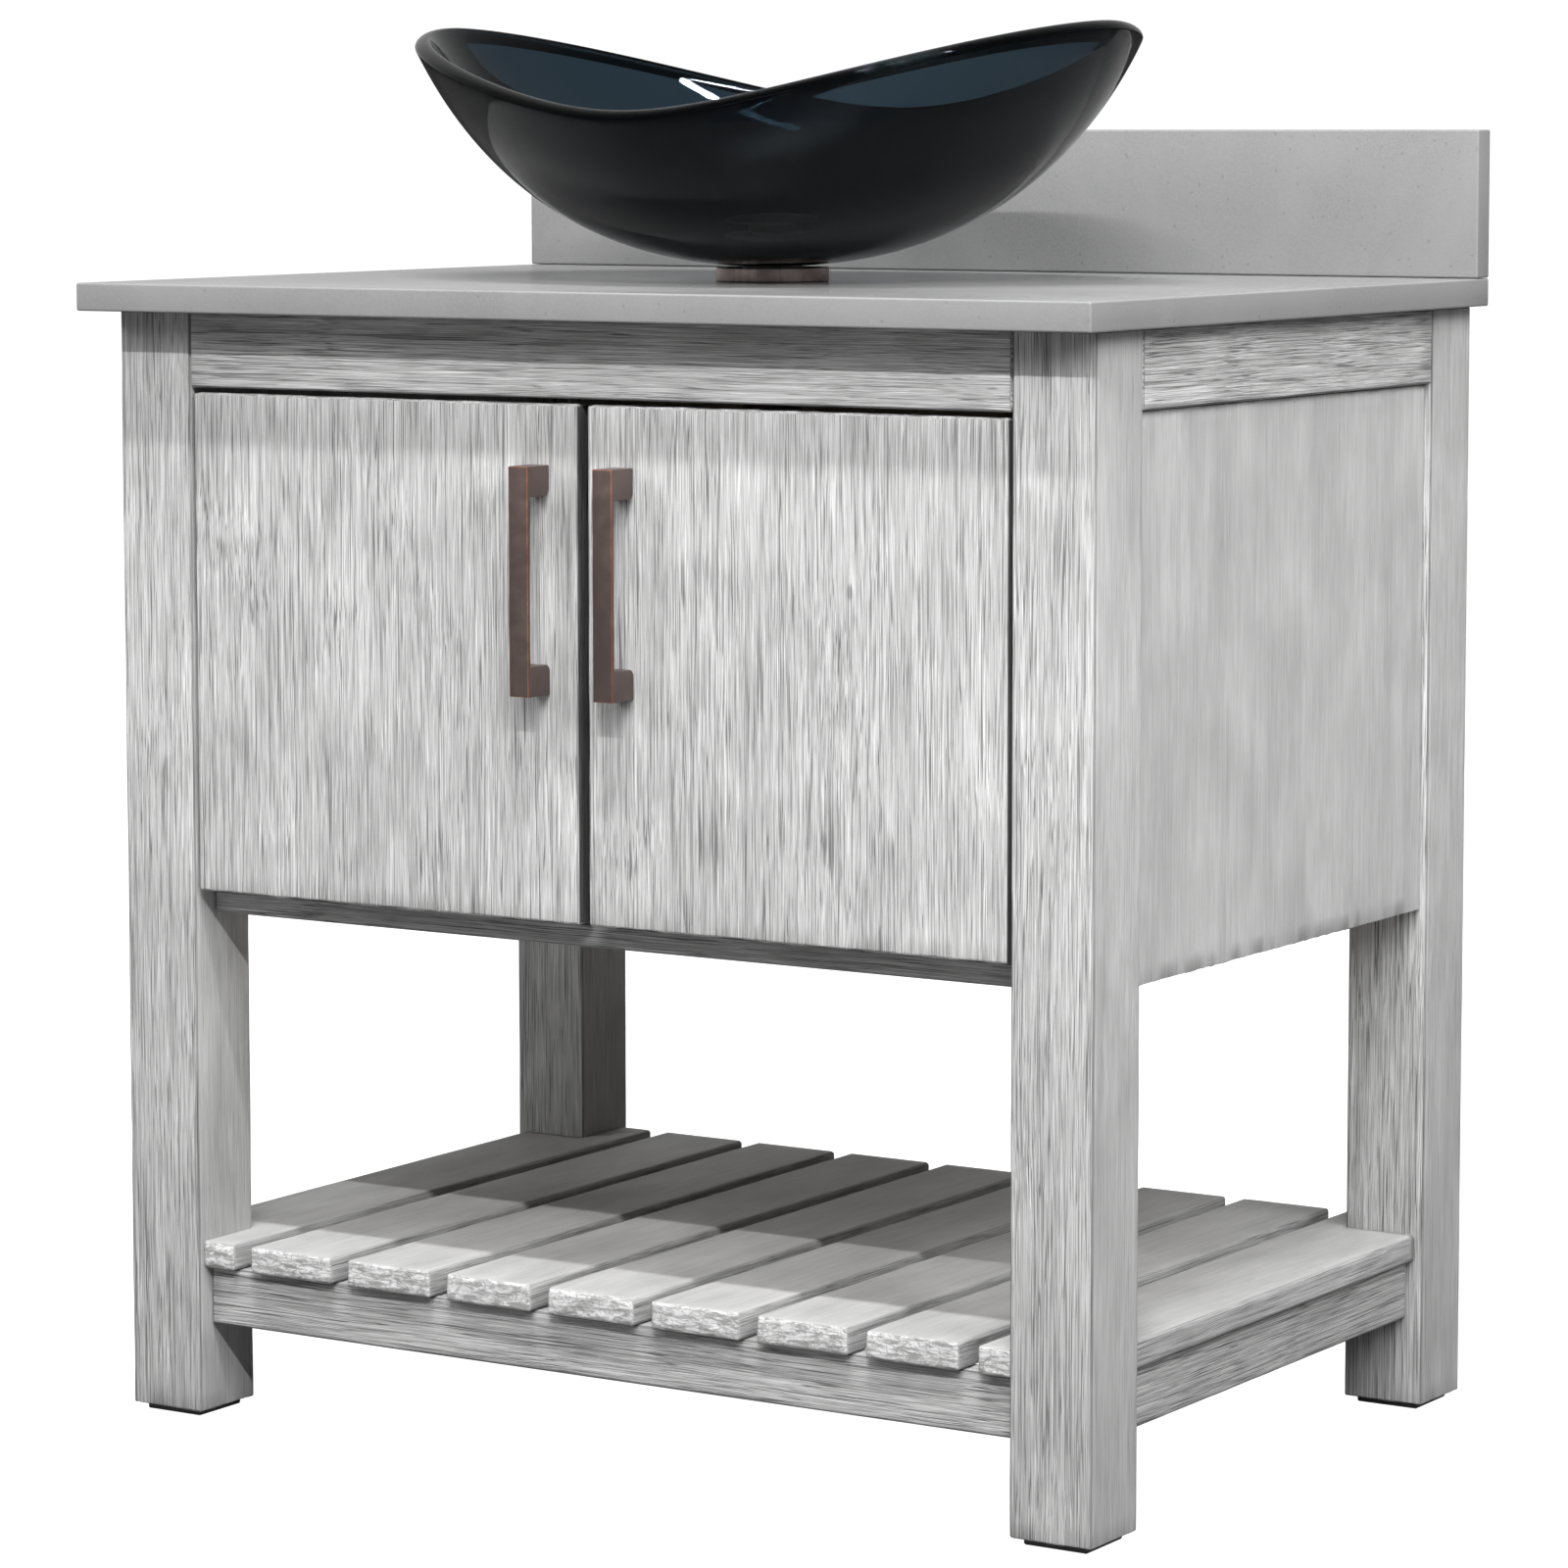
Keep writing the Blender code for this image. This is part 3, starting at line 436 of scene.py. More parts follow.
def leg_notches(side):
    """Cutters for an outer slat, one round each leg of its side."""
    grow = Vector((NOTCH_GAP, NOTCH_GAP, 0))
    cutters = []
    for end in ("front", "rear"):
        low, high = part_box(f"leg_{end}_{side}")
        cutters.append(box_cutter(low - grow, high + grow))
    return cutters


def make_slats():
    for number in range(1, SLAT_COUNT + 1):
        side = {1: "left", SLAT_COUNT: "right"}.get(number)
        board(
            f"slat_{number}",
            along=1,
            radius=SLAT_ROUND,
            calm=SLAT_CALM,
            glaze=SLAT_GLAZE,
            cutters=leg_notches(side) if side else (),
            seed=SLAT_SEED + number,
        )


def make_doors():
    for side, seed in DOOR_SEEDS.items():
        cutters = []
        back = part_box(f"door_{side}")[1].y
        for place in ("lower", "upper"):
            low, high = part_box(f"hinge_cup_{side}_{place}")
            centre = Vector(((low.x + high.x) / 2, back, (low.z + high.z) / 2))
            cutters.append(round_cutter(centre, POCKET_RADIUS, 2 * POCKET_DEPTH, axis="y"))
        board(
            f"door_{side}",
            along=2,
            radius=DOOR_ROUND,
            # painted shade on the door's edges, for the shade in its gaps
            painted_shade=DOOR_GAP_SHADE,
            glaze=DOOR_GLAZE,
            cutters=cutters,
            seed=seed,
        )


# ---------------------------------------------------------------- stone


def slab(node, cutters=()):
    low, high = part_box(node)
    points, _, quads = rounded_box(low, high, STONE_ROUND, (STONE_STEP,) * 3)
    obj = object_of(node + "_slab", mesh_of(node, points, quads))
    for cutter in cutters:
        cut(obj, cutter)
    obj.data.set_sharp_from_angle(angle=math.radians(SLAB_SHARP))
    finish_piece(obj, STONE, [node])


def make_stone():
    low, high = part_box("mounting_ring")
    top_low, top_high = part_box("countertop")
    centre = Vector(((low.x + high.x) / 2, (low.y + high.y) / 2, (top_low.z + top_high.z) / 2))
    thick = top_high.z - top_low.z
    slab("countertop", [round_cutter(centre, DRAIN_HOLE_RADIUS, 2 * thick)])
    slab("backsplash")


# ---------------------------------------------------------------- basin, ring and cap


def wall_point(curve, t):
    """(share of the way out, share of the way up) on one wall curve, from base 0 to rim 1."""
    foot, upper, slope = curve
    middle = 3 * (1 - t) ** 2 * t
    end = 3 * (1 - t) * t**2
    return middle * foot + end * (1 - upper) + t**3, end * (1 - upper * slope) + t**3


class Basin:
    """The outside of the glass as a function of the angle round it and of t, base 0 to rim 1."""

    def __init__(self):
        low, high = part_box("glass_basin")
        self.half_length = (high.x - low.x) / 2
        self.half_width = (high.y - low.y) / 2
        self.middle = Vector(((low.x + high.x) / 2, (low.y + high.y) / 2, 0))
        self.base = low.z

    def outer(self, angle, t):
        cosine = math.cos(angle)
        sine = math.sin(angle)
        along, along_up = wall_point(WALL_ALONG, t)
        across, across_up = wall_point(WALL_ACROSS, t)
        share = cosine * cosine
        out = across + (along - across) * share
        up = across_up + (along_up - across_up) * share
        soft = BASIN_RIM_SOFTNESS
        lift = (math.hypot(cosine, soft) - soft) / (math.hypot(1, soft) - soft)
        rim = BASIN_MIDDLE_Z + (BASIN_TIP_Z - BASIN_MIDDLE_Z) * lift
        x = self.half_length * cosine * out
        y = self.half_width * math.copysign(abs(sine) ** BASIN_PLAN_POWER, sine) * out
        return self.middle + Vector((x, y, self.base + (rim - self.base) * up))

    def start(self, angle):
        """The t where the outside is as far from the middle as the edge of the drain hole."""
        low, high = 0.0, 1.0
        for _ in range(40):
            t = (low + high) / 2
            if (self.outer(angle, t) - self.middle).xy.length < BASIN_HOLE_RADIUS:
                low = t
            else:
                high = t
        return high

    def normal(self, angle, t):
        step = 1e-4
        around = self.outer(angle + step, t) - self.outer(angle - step, t)
        along = self.outer(angle, min(t + step, 1.0)) - self.outer(angle, t - step)
        return around.cross(along).normalized()

    def column(self, angle):
        """Points up the outside, over the lip and down the inside."""
        start = self.start(angle)
        steps = [start + (1 - start) * j / BASIN_UP for j in range(BASIN_UP + 1)]
        outer = [self.outer(angle, t) for t in steps]
        inner = [p - self.normal(angle, t) * BASIN_GLASS for p, t in zip(outer, steps)]
        inner[0] = Vector((outer[0].x, outer[0].y, inner[0].z))
        middle = (outer[-1] + inner[-1]) / 2
        across = (outer[-1] - inner[-1]) / 2
        rise = (outer[-1] - outer[-2]).normalized() * across.length * BASIN_LIP_ROUND
        turns = [math.pi * k / BASIN_LIP for k in range(1, BASIN_LIP)]
        lip = [middle + across * math.cos(a) + rise * math.sin(a) for a in turns]
        return outer + lip + inner[::-1]


def make_basin():
    basin = Basin()
    columns = [basin.column(math.tau * i / BASIN_AROUND) for i in range(BASIN_AROUND)]
    points = np.array([[tuple(p) for p in column] for column in columns])
    mesh = ring_mesh("glass_basin", points)
    mesh.set_sharp_from_angle(angle=math.radians(BASIN_SHARP))
    finish_piece(object_of("basin_glass", mesh), GLASS, ["glass_basin"])


def turned_piece(node, profile, material, name):
    """Spins a closed profile of (radius, height) round the vertical axis of a CAD node."""
    low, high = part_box(node)
    angles = (np.arange(TURNED_STEPS) * math.tau / TURNED_STEPS)[:, None]
    radii = np.array([r for r, _ in profile])
    heights = np.array([h for _, h in profile])
    x = (low.x + high.x) / 2 + np.cos(angles) * radii
    y = (low.y + high.y) / 2 + np.sin(angles) * radii
    mesh = ring_mesh(node, np.stack([x, y, np.broadcast_to(heights, x.shape)], 2))
    shape = bmesh.new()
    shape.from_mesh(mesh)
    bmesh.ops.remove_doubles(shape, verts=shape.verts, dist=1e-6)
    bmesh.ops.recalc_face_normals(shape, faces=shape.faces)
    shape.to_mesh(mesh)
    shape.free()
    mesh.shade_smooth()
    mesh.set_sharp_from_angle(angle=math.radians(METAL_SHARP))
    return finish_piece(object_of(name, mesh), material, [node])


def round_corner(centre, radius, start, end, steps=4):
    """Points on an arc from one angle to another, in degrees."""
    angles = [math.radians(start + (end - start) * k / steps) for k in range(steps + 1)]
    return [(centre[0] + radius * math.cos(a), centre[1] + radius * math.sin(a)) for a in angles]


def make_ring():
    low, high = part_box("mounting_ring")
    radius = (high.x - low.x) / 2
    soft = RING_ROUND
    seat_radius, seat_depth = RING_SEAT
    profile = [(RING_INNER, low.z), (radius - soft, low.z)]
    profile += round_corner((radius - soft, low.z + soft), soft, -90, 0)
    profile += round_corner((radius - soft, high.z - soft), soft, 0, 90)
    profile += [(seat_radius, high.z), (seat_radius, high.z - seat_depth)]
    profile += [(RING_INNER, high.z - seat_depth)]
    turned_piece("mounting_ring", profile, RING_BRONZE, "ring_turned")


def make_cap():
    """The pop-up cap, rounder than its solid: stem, neck, rolled edge and low dome."""
    low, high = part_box("drain_cap")
    radius = (high.x - low.x) / 2
    stem, neck = CAP_STEM_RADIUS, CAP_NECK_RADIUS
    lower, upper = CAP_LOWER_ROUND, CAP_UPPER_ROUND
    edge_high = high.z - CAP_DOME
    edge_low = edge_high - CAP_EDGE
    neck_low = edge_low - CAP_NECK_LENGTH
    profile = [(0, low.z), (stem, low.z), (stem, neck_low - 2 * CAP_TAPER)]
    profile += [(neck - CAP_TAPER, neck_low - CAP_TAPER), (neck, neck_low), (neck, edge_low)]
    profile += round_corner((radius - lower, edge_low + lower), lower, -90, 0)
    profile += round_corner((radius - upper, edge_high - upper), upper, 0, 80)
    for share in CAP_DOME_SHARES:
        profile.append((radius * share, edge_high + CAP_DOME * (1 - share**2)))
    profile.append((0, high.z))
    turned_piece("drain_cap", profile, BRONZE, "cap_turned")


# ---------------------------------------------------------------- handles


def handle_outline(low, high):
    """The bow seen from its side, as (Y, Z) points: a bar along the front and two posts."""
    front = low.y
    door = high.y
    behind_bar = front + HANDLE_BAR
    upper = high.z - HANDLE_POST
    lower = low.z + HANDLE_POST
    turn = HANDLE_POST_ROUND
    outline = [(front, low.z), (door, low.z)]
    outline += round_corner((door - turn, lower - turn), turn, 0, 90, 8)
    outline += [(behind_bar, lower), (behind_bar, upper)]
    outline += round_corner((door - turn, upper + turn), turn, -90, 0, 8)
    return outline + [(door, high.z), (front, high.z)]


def handle_shape(low, high):
    """The bow with its edges broken. Its worn front edges take the second material."""
    shape = bmesh.new()
    ring = [shape.verts.new((low.x, y, z)) for y, z in handle_outline(low, high)]
    face = shape.faces.new(ring)
    made = bmesh.ops.extrude_face_region(shape, geom=[face])
    far = [item for item in made["geom"] if isinstance(item, bmesh.types.BMVert)]
    bmesh.ops.translate(shape, verts=far, vec=(high.x - low.x, 0, 0))
    bmesh.ops.recalc_face_normals(shape, faces=shape.faces)
    sharp = [e for e in shape.edges if e.calc_face_angle(0) > math.radians(HANDLE_BEVEL_ANGLE)]
    bmesh.ops.bevel(shape, geom=sharp, offset=HANDLE_EDGE, segments=3, profile=0.5, affect="EDGES")
    for face in shape.faces:
        axis_facing = max(abs(part) for part in face.normal)
        at_front = all(v.co.y < low.y + HANDLE_WORN_DEPTH for v in face.verts)
        if at_front and axis_facing < HANDLE_FLAT_FACING:
            face.material_index = 1
    return shape


def make_handle(side):
    """A bow handle with worn copper along the edges of its bar."""
    shape = handle_shape(*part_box(f"handle_{side}"))
    mesh = bpy.data.meshes.new(f"handle_{side}")
    shape.to_mesh(mesh)
    shape.free()
    mesh.shade_smooth()
    mesh.set_sharp_from_angle(angle=math.radians(METAL_SHARP))
    mesh.materials.append(BRONZE)
    mesh.materials.append(COPPER)
    finish_piece(object_of(f"handle_{side}_bow", mesh), None, [f"handle_{side}"])


# ---------------------------------------------------------------- materials


def add(tree, kind, inputs=None, **settings):
    """Adds a shader node. An input that is a socket is linked, any other is set as a constant."""
    node = tree.nodes.new(kind)
    for name, value in settings.items():
        setattr(node, name, value)
    for socket, value in (inputs or {}).items():
        if isinstance(value, bpy.types.NodeSocket):
            tree.links.new(value, node.inputs[socket])
        else:
            node.inputs[socket].default_value = value
    return node


def connect(tree, output, node, socket):
    tree.links.new(output, node.inputs[socket])


def new_material(name, roughness, metallic=0.0, **constants):
    """A material with its constants on the Principled sockets. Returns it, its tree and shader."""
    made = bpy.data.materials.new(name)
    made.use_nodes = True
    shader = made.node_tree.nodes["Principled BSDF"]
    shader.inputs["Roughness"].default_value = roughness
    shader.inputs["Metallic"].default_value = metallic
    for socket, value in constants.items():
        shader.inputs[socket.replace("_", " ")].default_value = value
    return made, made.node_tree, shader


def stretched(tree, source, scale):
    return add(tree, "ShaderNodeMapping", {"Vector": source, "Scale": scale}).outputs["Vector"]


def noise(tree, vector, scale=1.0, detail=2.0, roughness=0.5, distortion=0.0):
    inputs = {
        "Vector": vector,
        "Scale": scale,
        "Detail": detail,
        "Roughness": roughness,
        "Distortion": distortion,
    }
    return add(tree, "ShaderNodeTexNoise", inputs).outputs["Fac"]


def between(tree, value, low, high, to_low=0.0, to_high=1.0):
    """Turns low..high of a value into to_low..to_high with a smooth step."""
    inputs = {"Value": value, "From Min": low, "From Max": high, "To Min": to_low, "To Max": to_high}
    return add(tree, "ShaderNodeMapRange", inputs, interpolation_type="SMOOTHSTEP").outputs["Result"]


def calculate(tree, operation, first, second):
    return add(tree, "ShaderNodeMath", {0: first, 1: second}, operation=operation).outputs[0]


def product(tree, first, *others):
    for other in others:
        first = calculate(tree, "MULTIPLY", first, other)
    return first


def mixed(tree, factor, first, second, blend="MIX"):
    """Mixes two colours. On this node they are inputs 6 and 7, and the colour is output 2."""
    inputs = {0: factor, 6: first, 7: second}
    return add(tree, "ShaderNodeMix", inputs, data_type="RGBA", blend_type=blend).outputs[2]


def grey(value, warmth=0.0):
    return (value * (1 + warmth), value, value * (1 - warmth), 1.0)


def bump(tree, shader, height, distance, strength=1.0):
    inputs = {"Height": height, "Distance": distance, "Strength": strength}
    connect(tree, add(tree, "ShaderNodeBump", inputs).outputs["Normal"], shader, "Normal")


def attribute(tree, name, output="Fac"):
    return add(tree, "ShaderNodeAttribute", attribute_name=name).outputs[output]


def object_place(tree):
    """The place on the piece itself, in metres."""
    return add(tree, "ShaderNodeTexCoord").outputs["Object"]


def grain_lines(tree, run, along, across, width):
    """Thin wandering lines along the grain: 1 on a line and 0 off it."""
    field = noise(tree, stretched(tree, run, (along, across, across)), detail=1.6, roughness=0.45)
    away = calculate(tree, "ABSOLUTE", calculate(tree, "SUBTRACT", field, 0.5), 0.0)
    return between(tree, away, width, width * 0.3)


def grain_run(tree, grain):
    """The grain's coordinates, moved so that its lines wander from side to side."""
    drift = add(tree, "ShaderNodeTexNoise", {"Vector": stretched(tree, grain, SWAY_NOISE), "Scale": 1.0})
    inputs = {0: drift.outputs["Color"], 1: (0.0, GRAIN_SWAY, GRAIN_SWAY)}
    sway = add(tree, "ShaderNodeVectorMath", inputs, operation="MULTIPLY")
    return add(tree, "ShaderNodeVectorMath", {0: grain, 1: sway.outputs[0]}, operation="ADD").outputs[0]


def furrow_lines(tree, run, calm):
    """Dark furrows that come and go along the board, with hair lines, fainter on planed faces."""
    fading = between(tree, noise(tree, stretched(tree, run, FADE_NOISE)), 0.34, 0.56, 0.60, 1.0)
    dark = product(tree, grain_lines(tree, run, *DARK_LINES), fading)
    hair = product(tree, grain_lines(tree, run, *HAIR_LINES), HAIR_STRENGTH)
    brushed = between(tree, calm, 0.0, 1.0, 1.0, 0.12)
    return product(tree, calculate(tree, "MAXIMUM", dark, hair), brushed)


def lime_lines(tree, run, calm):
    """Pale lines of lime, fainter on planed faces."""
    beside = add(tree, "ShaderNodeVectorMath", {0: run, 1: LIME_OFFSET}).outputs[0]
    lime = grain_lines(tree, beside, *LIME_LINES)
    return product(tree, lime, between(tree, calm, 0.0, 1.0, 0.55, 0.2))


def glaze_and_painted_shade(tree, grain, run, calm):
    """A grey to multiply with: bands, patches and smudges of glaze, planed faces, edges, and painted shade
    on door edges and toward the floor.
    """
    band = noise(tree, stretched(tree, run, BAND_NOISE), detail=2.0)
    patch = noise(tree, stretched(tree, grain, PATCH_NOISE), detail=3.0)
    smudge = noise(tree, stretched(tree, grain, SMUDGE_NOISE), detail=5.0, roughness=0.6)
    tone = product(
        tree,
        between(tree, band, 0.32, 0.62, 0.94, 1.03),
        between(tree, patch, 0.3, 0.7, 0.90, 1.03),
        between(tree, smudge, 0.3, 0.7, 0.92, 1.05),
        between(tree, calm, 0.0, 1.0, 1.0, CALM_TONE),
        between(tree, attribute(tree, "edge"), 0.1, 0.8, 1.0, EDGE_TONE),
        # painted shade: door edges in their gaps and the lower parts
        calculate(tree, "SUBTRACT", 1.0, attribute(tree, "painted_shade")),
    )
    return add(tree, "ShaderNodeCombineColor", {0: tone, 1: tone, 2: tone}).outputs[0]


def sawn_end(tree, grain):
    """Pale torn fibres between dark rings. Returns the colour and the fibres."""
    torn = noise(tree, stretched(tree, grain, TORN_NOISE), detail=3.0, roughness=0.6, distortion=0.8)
    rings = noise(tree, stretched(tree, grain, END_RING_NOISE), detail=2.0, distortion=1.5)
    rings = calculate(tree, "ABSOLUTE", calculate(tree, "SUBTRACT", rings, 0.5), 0.0)
    colour = mixed(tree, between(tree, torn, 0.36, 0.60), grey(END_DARK, 0.01), grey(END_LIGHT))
    dark = between(tree, rings, 0.05, 0.01, 0.0, 0.6)
    return mixed(tree, dark, colour, grey(END_RING_GREY, 0.01)), torn


def knot_spots(tree, grain):
    """A few small knots: 1 in the middle of a knot and 0 off it."""
    inputs = {"Vector": stretched(tree, grain, KNOT_NOISE), "Scale": 1.0, "Randomness": 1.0}
    cells = add(tree, "ShaderNodeTexVoronoi", inputs)
    chosen = add(tree, "ShaderNodeSeparateColor", {0: cells.outputs["Color"]}).outputs[0]
    near = between(tree, cells.outputs["Distance"], 0.055, 0.02)
    return product(tree, near, between(tree, chosen, 0.86, 0.90))


def timber_material():
    """Light grey brushed timber: dark furrows, limed ridges, glaze in the corners, rough ends, and painted
    shade on door edges and low down.
    """
    made, tree, shader = new_material("brushed_timber", 0.62, Specular_IOR_Level=0.3)
    grain = attribute(tree, "grain", "Vector")
    calm = attribute(tree, "calm")
    end = attribute(tree, "end")
    run = grain_run(tree, grain)
    furrow = furrow_lines(tree, run, calm)
    limed = lime_lines(tree, run, calm)
    streak = noise(tree, stretched(tree, run, STREAK_NOISE), detail=2.0, roughness=0.6)
    colour = mixed(tree, between(tree, streak, 0.30, 0.70), grey(TIMBER_DARK, 0.004), grey(TIMBER_LIGHT))
    colour = mixed(tree, limed, colour, grey(LIME_GREY))
    colour = mixed(tree, product(tree, furrow, FURROW_STRENGTH), colour, grey(FURROW_GREY, 0.01))
    colour = mixed(tree, 1.0, colour, glaze_and_painted_shade(tree, grain, run, calm), "MULTIPLY")
    end_colour, torn = sawn_end(tree, grain)
    colour = mixed(tree, product(tree, end, END_STRENGTH), colour, end_colour)
    knot = product(tree, knot_spots(tree, grain), KNOT_STRENGTH)
    colour = mixed(tree, knot, colour, grey(KNOT_GREY, 0.02))
    connect(tree, colour, shader, "Base Color")
    connect(tree, between(tree, furrow, 0.0, 1.0, 0.55, 0.75), shader, "Roughness")
    relief = calculate(tree, "SUBTRACT", product(tree, limed, 0.6), furrow)
    bump(tree, shader, calculate(tree, "ADD", relief, product(tree, torn, end)), 0.0004, 0.6)
    return made


def stone_flecks(tree, place):
    """A few dark flecks: 1 in the middle of a fleck and 0 off it."""
    cells = add(tree, "ShaderNodeTexVoronoi", {"Vector": place, "Scale": 150.0})
    chosen = add(tree, "ShaderNodeSeparateColor", {0: cells.outputs["Color"]}).outputs[1]
    near = between(tree, cells.outputs["Distance"], 0.26, 0.12)
    return product(tree, near, between(tree, chosen, 0.90, 0.95))


def stone_material():
    """Polished grey quartz: fine grit, faint clouds and a few dark flecks."""
    made, tree, shader = new_material("polished_quartz", 0.22, Specular_IOR_Level=0.4)
    place = object_place(tree)
    cloud = noise(tree, place, 9.0, 4.0, 0.55, 0.6)
    grit = noise(tree, place, 900.0, 2.0, 0.6)
    colour = mixed(tree, between(tree, cloud, 0.3, 0.7), grey(STONE_DARK), grey(STONE_LIGHT))
    colour = mixed(tree, between(tree, grit, 0.35, 0.65, 0.0, 0.5), colour, grey(GRIT_GREY))
    colour = mixed(tree, product(tree, stone_flecks(tree, place), 0.45), colour, grey(FLECK_GREY))
    connect(tree, colour, shader, "Base Color")
    connect(tree, between(tree, cloud, 0.2, 0.8, 0.18, 0.28), shader, "Roughness")
    bump(tree, shader, grit, 0.00004, 0.4)
    return made


def glass_material():
    """Smoked blue-grey glass. Its tint comes from the depth of glass that light goes through."""
    made, tree, shader = new_material(
        "smoked_glass", 0.0, Transmission_Weight=1.0, IOR=GLASS_INDEX, Specular_Tint=GLASS_SHINE
    )
    place = object_place(tree)
    colour = mixed(tree, noise(tree, place, 8.0), (0.90, 0.95, 0.97, 1), (0.94, 0.97, 0.98, 1))
    connect(tree, colour, shader, "Base Color")
    connect(tree, between(tree, noise(tree, place, 60.0), 0.45, 0.75, 0.0, 0.03), shader, "Roughness")
    bump(tree, shader, noise(tree, place, 14.0, 1.0), 0.0006, 0.25)
    inputs = {"Color": GLASS_TINT, "Density": GLASS_DENSITY}
    volume = add(tree, "ShaderNodeVolumeAbsorption", inputs).outputs[0]
    connect(tree, volume, tree.nodes["Material Output"], "Volume")
    return made


def metal_material(name, dark, light, roughness, metallic, streak=(120, 120, 120), depth=0.00002):
    """A metal finish with tone drift and fine marks, longest where streak is smallest."""
    made, tree, shader = new_material(name, roughness, metallic)
    place = object_place(tree)
    tone = noise(tree, place, 35.0, 3.0)
    marks = noise(tree, stretched(tree, place, streak), detail=3.0, roughness=0.6)
    share = product(
        tree, between(tree, tone, 0.3, 0.7), between(tree, marks, 0.25, 0.75, 0.4, 1.0)
    )
    connect(tree, mixed(tree, share, (*dark, 1), (*light, 1)), shader, "Base Color")
    rough = between(tree, marks, 0.25, 0.75, roughness * 0.8, roughness * 1.25)
    connect(tree, rough, shader, "Roughness")
    bump(tree, shader, marks, depth, 0.6)
    return made


def plain_material(name, dark, light, roughness, scale, stretch=(1, 1, 1), depth=0.00005):
    """Rubber, plastic or plywood: a mottled colour with a fine surface."""
    made, tree, shader = new_material(name, roughness)
    place = stretched(tree, object_place(tree), stretch)
    mottle = noise(tree, place, scale, 4.0, 0.6)
    colour = mixed(tree, between(tree, mottle, 0.3, 0.7), (*dark, 1), (*light, 1))
    connect(tree, colour, shader, "Base Color")
    rough = between(tree, mottle, 0.3, 0.7, roughness * 0.85, roughness)
    connect(tree, rough, shader, "Roughness")
    bump(tree, shader, noise(tree, place, scale * 6), depth, 0.6)
    return made


TIMBER = timber_material()
STONE = stone_material()
GLASS = glass_material()
BRONZE = metal_material(
    "oil_rubbed_bronze",
    dark=(0.105, 0.078, 0.071),
    light=(0.150, 0.112, 0.100),
    roughness=0.42,
    metallic=0.6,
)
COPPER = metal_material(
    "worn_copper",
    dark=(0.30, 0.10, 0.06),
    light=(0.52, 0.22, 0.14),
    roughness=0.34,
    metallic=0.8,
)
RING_BRONZE = metal_material(
    "brushed_bronze",
    dark=(0.20, 0.15, 0.138),
    light=(0.80, 0.66, 0.60),
    roughness=0.34,
    metallic=0.8,
    streak=(700, 700, 12),
    depth=0.00005,
)
STEEL = metal_material(
    "nickel_plate",
    dark=(0.42, 0.42, 0.43),
    light=(0.62, 0.62, 0.63),
    roughness=0.28,
    metallic=1.0,
)
RUBBER = plain_material(
    "seal_rubber",
    dark=(0.018, 0.018, 0.018),
    light=(0.04, 0.04, 0.04),
    roughness=0.75,
    scale=300.0,
)
PLASTIC = plain_material(
    "moulded_plastic",
    dark=(0.035, 0.035, 0.036),
    light=(0.06, 0.06, 0.06),
    roughness=0.5,
    scale=400.0,
)
PLYWOOD = plain_material(
    "plywood_face",
    dark=(0.33, 0.27, 0.20),
    light=(0.52, 0.45, 0.36),
    roughness=0.7,
    scale=30.0,
    stretch=(1, 6, 1),
    depth=0.0001,
)
KEPT = {
    "plated_steel": STEEL,
    "black_rubber": RUBBER,
    "dark_plastic": PLASTIC,
    "plywood": PLYWOOD,
    "aged_bronze": BRONZE,
}


def finish_kept_nodes():
    """CAD solids whose shape is right stay, with a finished material in their slots."""
    for node, obj in frame["nodes"].items():
        if obj.hide_render:
            continue
        for place in obj.material_slots:
            place.material = KEPT[SLOT_OF[node]]


# ---------------------------------------------------------------- camera, lights and floor


def make_camera():
    camera = bpy.data.objects.new("camera", bpy.data.cameras.new("camera"))
    bpy.context.scene.collection.objects.link(camera)
    turn = Matrix.Rotation(CAMERA_YAW, 4, "Z")
    tilt = Matrix.Rotation(math.pi / 2 + CAMERA_PITCH, 4, "X")
    roll = Matrix.Rotation(CAMERA_ROLL, 4, "Z")
    camera.matrix_world = Matrix.Translation(CAMERA_PLACE) @ turn @ tilt @ roll
    camera.data.lens = CAMERA_LENS
    camera.data.shift_x, camera.data.shift_y = CAMERA_SHIFT
    camera.data.clip_end = FAR_CLIP
    bpy.context.scene.camera = camera


def area_light(name, place, aim, size, power, level=False):
    """A rectangular light facing a point. If level, it only tilts, so its long side follows X."""
    data = bpy.data.lights.new(name, "AREA")
    data.shape = "RECTANGLE"
    data.size, data.size_y = size
    data.energy = power
    light = bpy.data.objects.new(name, data)
    light.location = place
    light.rotation_mode = "QUATERNION"
    facing = Vector(aim) - Vector(place)
    if level:
        facing.x = 0
    light.rotation_quaternion = facing.to_track_quat("-Z", "Y")
    bpy.context.scene.collection.objects.link(light)
    return light


def make_lights():
    """Two narrow lights from the front give the shadow edges. Soft boxes fill, unseen in the glass."""
    doors = (0, -0.28, 0.8)
    below_doors = (0, -0.28, 0.6)
    middle = (0, 0, 0.9)
    below_middle = (0, 0, 0.6)
    area_light("front_strip", (2.1, -3.55, 3.85), doors, size=(2.4, 0.07), power=236, level=True)
    area_light("top_strip", (0.75, -1.75, 5.1), below_doors, size=(2.2, 0.16), power=285, level=True)
    soft = [
        area_light("left_box", (-1.9, -2.3, 2.2), middle, size=(1.0, 1.0), power=35),
        area_light("right_box", (2.6, -1.3, 2.2), middle, size=(1.0, 1.2), power=52),
        area_light("right_top_box", (3.0, -0.3, 3.2), below_middle, size=(1.4, 1.4), power=50),
        area_light("back_box", (-1.2, 4.2, 1.9), below_middle, size=(1.6, 1.6), power=60),
    ]
    for light in soft:
        light.visible_glossy = False


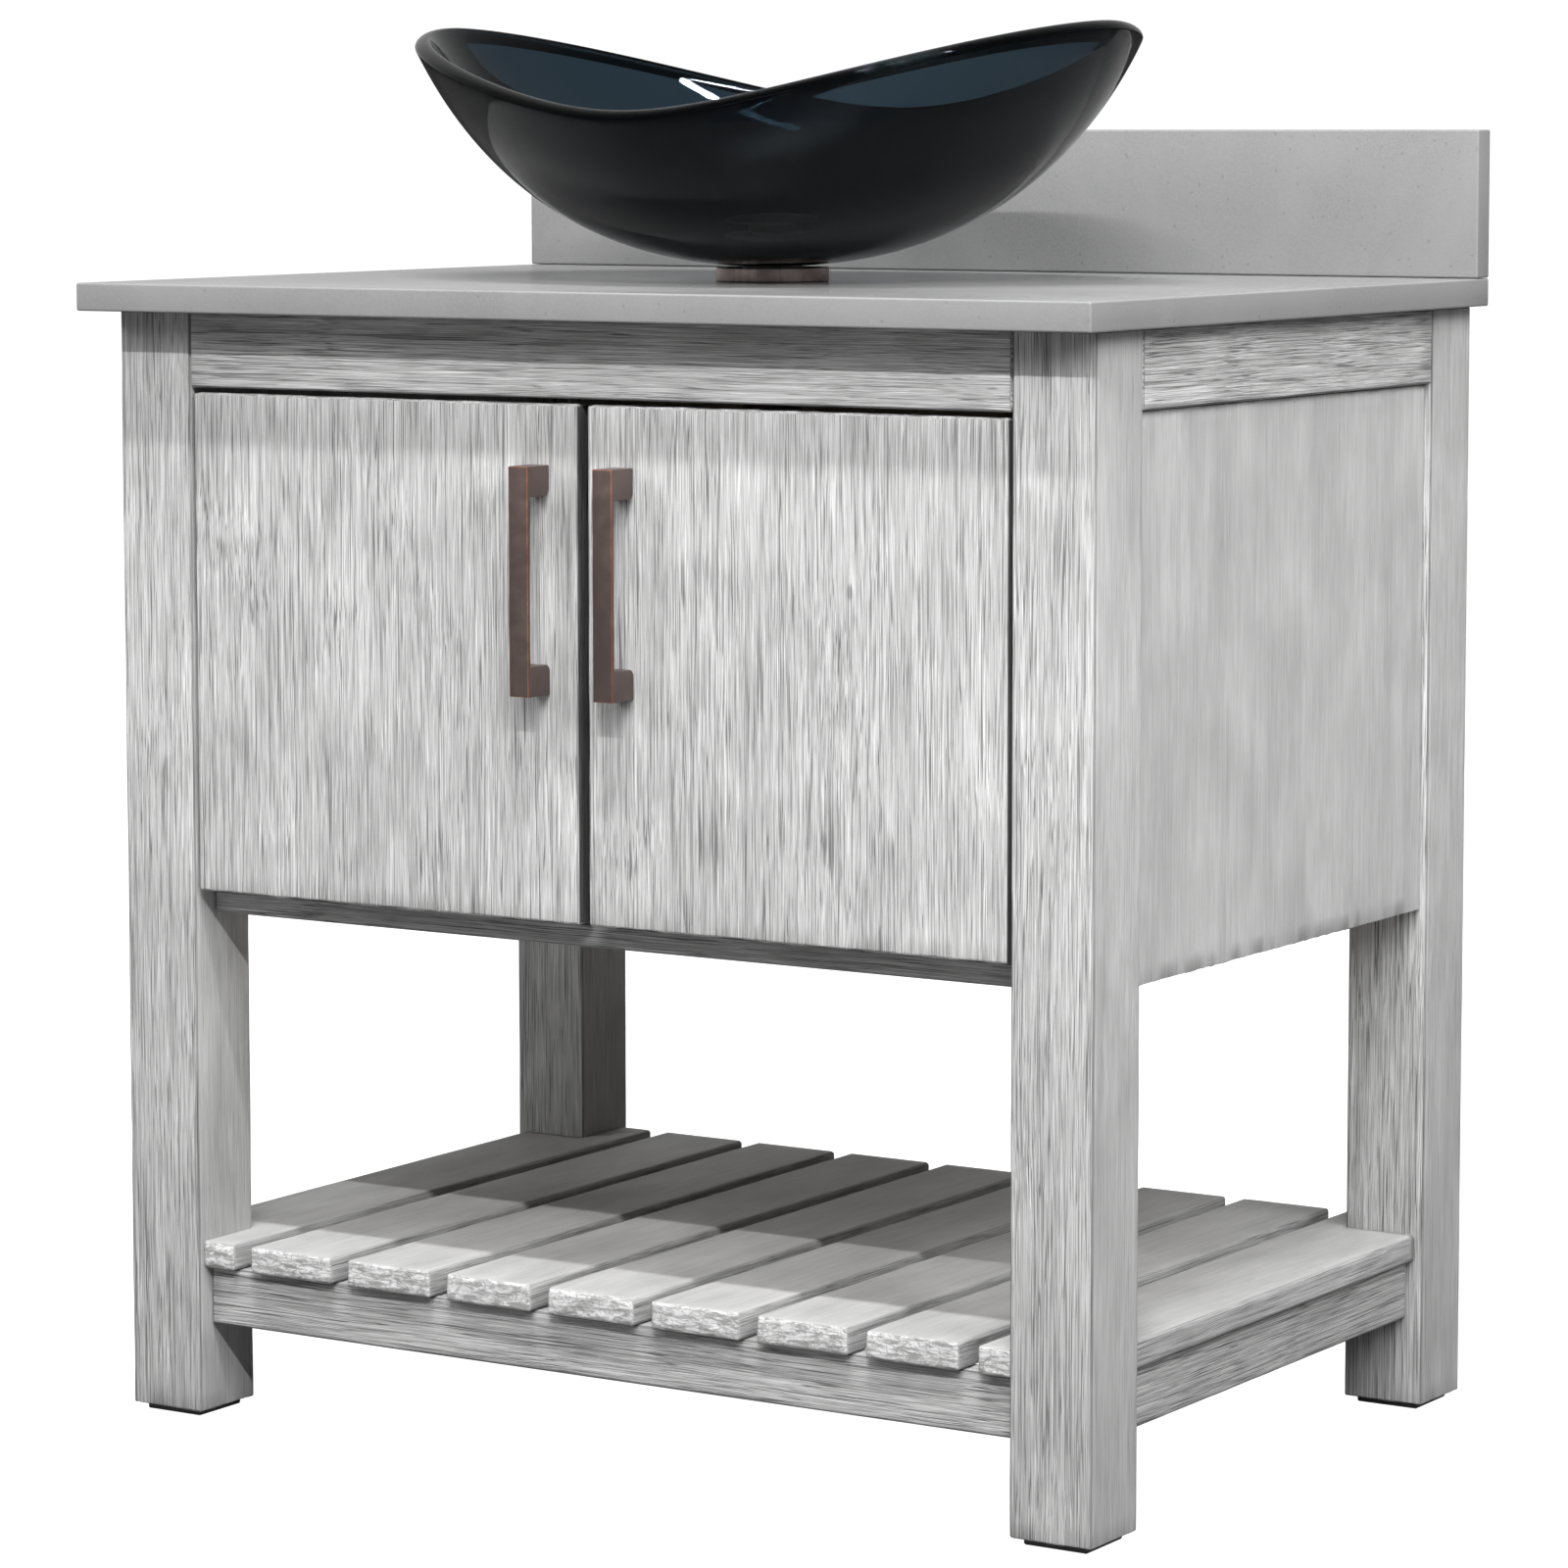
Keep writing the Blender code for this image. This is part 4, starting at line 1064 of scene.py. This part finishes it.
def make_studio():
    """A white backdrop that the camera and polished faces see, with only a little fill."""
    world = bpy.data.worlds.new("studio")
    bpy.context.scene.world = world
    world.use_nodes = True
    tree = world.node_tree
    ray = add(tree, "ShaderNodeLightPath").outputs
    direction = add(tree, "ShaderNodeTexCoord").outputs["Generated"]
    depth = add(tree, "ShaderNodeSeparateXYZ", {0: direction}).outputs["Y"]
    mirrored = between(tree, depth, STUDIO_FRONT, STUDIO_BACK, STUDIO_DARK, STUDIO_MIRROR)
    direct = calculate(tree, "MAXIMUM", ray["Is Camera Ray"], ray["Is Transmission Ray"])
    seen = calculate(tree, "MAXIMUM", product(tree, direct, STUDIO_WHITE), mirrored)
    fill = product(tree, ray["Is Diffuse Ray"], STUDIO_FILL)
    lit = product(tree, seen, calculate(tree, "SUBTRACT", 1.0, ray["Is Diffuse Ray"]))
    background = tree.nodes["Background"]
    background.inputs["Color"].default_value = (1, 1, 1, 1)
    connect(tree, calculate(tree, "ADD", lit, fill), background, "Strength")


def make_floor():
    """A pale seamless floor, washed out to white for the camera only."""
    shape = bmesh.new()
    bmesh.ops.create_grid(shape, x_segments=1, y_segments=1, size=FLOOR_HALF_SIDE)
    mesh = bpy.data.meshes.new("floor")
    shape.to_mesh(mesh)
    shape.free()
    made, tree, shader = new_material("pale_floor", 0.9)
    mottle = noise(tree, object_place(tree), 3.0)
    colour = mixed(tree, mottle, grey(FLOOR_TONE * 0.96), grey(FLOOR_TONE * 1.04))
    connect(tree, colour, shader, "Base Color")
    shader.inputs["Emission Color"].default_value = (1, 1, 1, 1)
    seen = add(tree, "ShaderNodeLightPath").outputs["Is Camera Ray"]
    connect(tree, product(tree, seen, FLOOR_WASH), shader, "Emission Strength")
    mesh.materials.append(made)
    floor = object_of("floor", mesh)
    floor.location.z = -FLOOR_DROP


def main():
    make_camera()
    make_lights()
    make_studio()
    make_floor()
    make_frame_timber()
    make_slats()
    make_doors()
    make_stone()
    make_basin()
    make_ring()
    make_cap()
    make_handle("left")
    make_handle("right")
    finish_kept_nodes()
    bpy.context.scene.view_settings.view_transform = "Standard"


main()
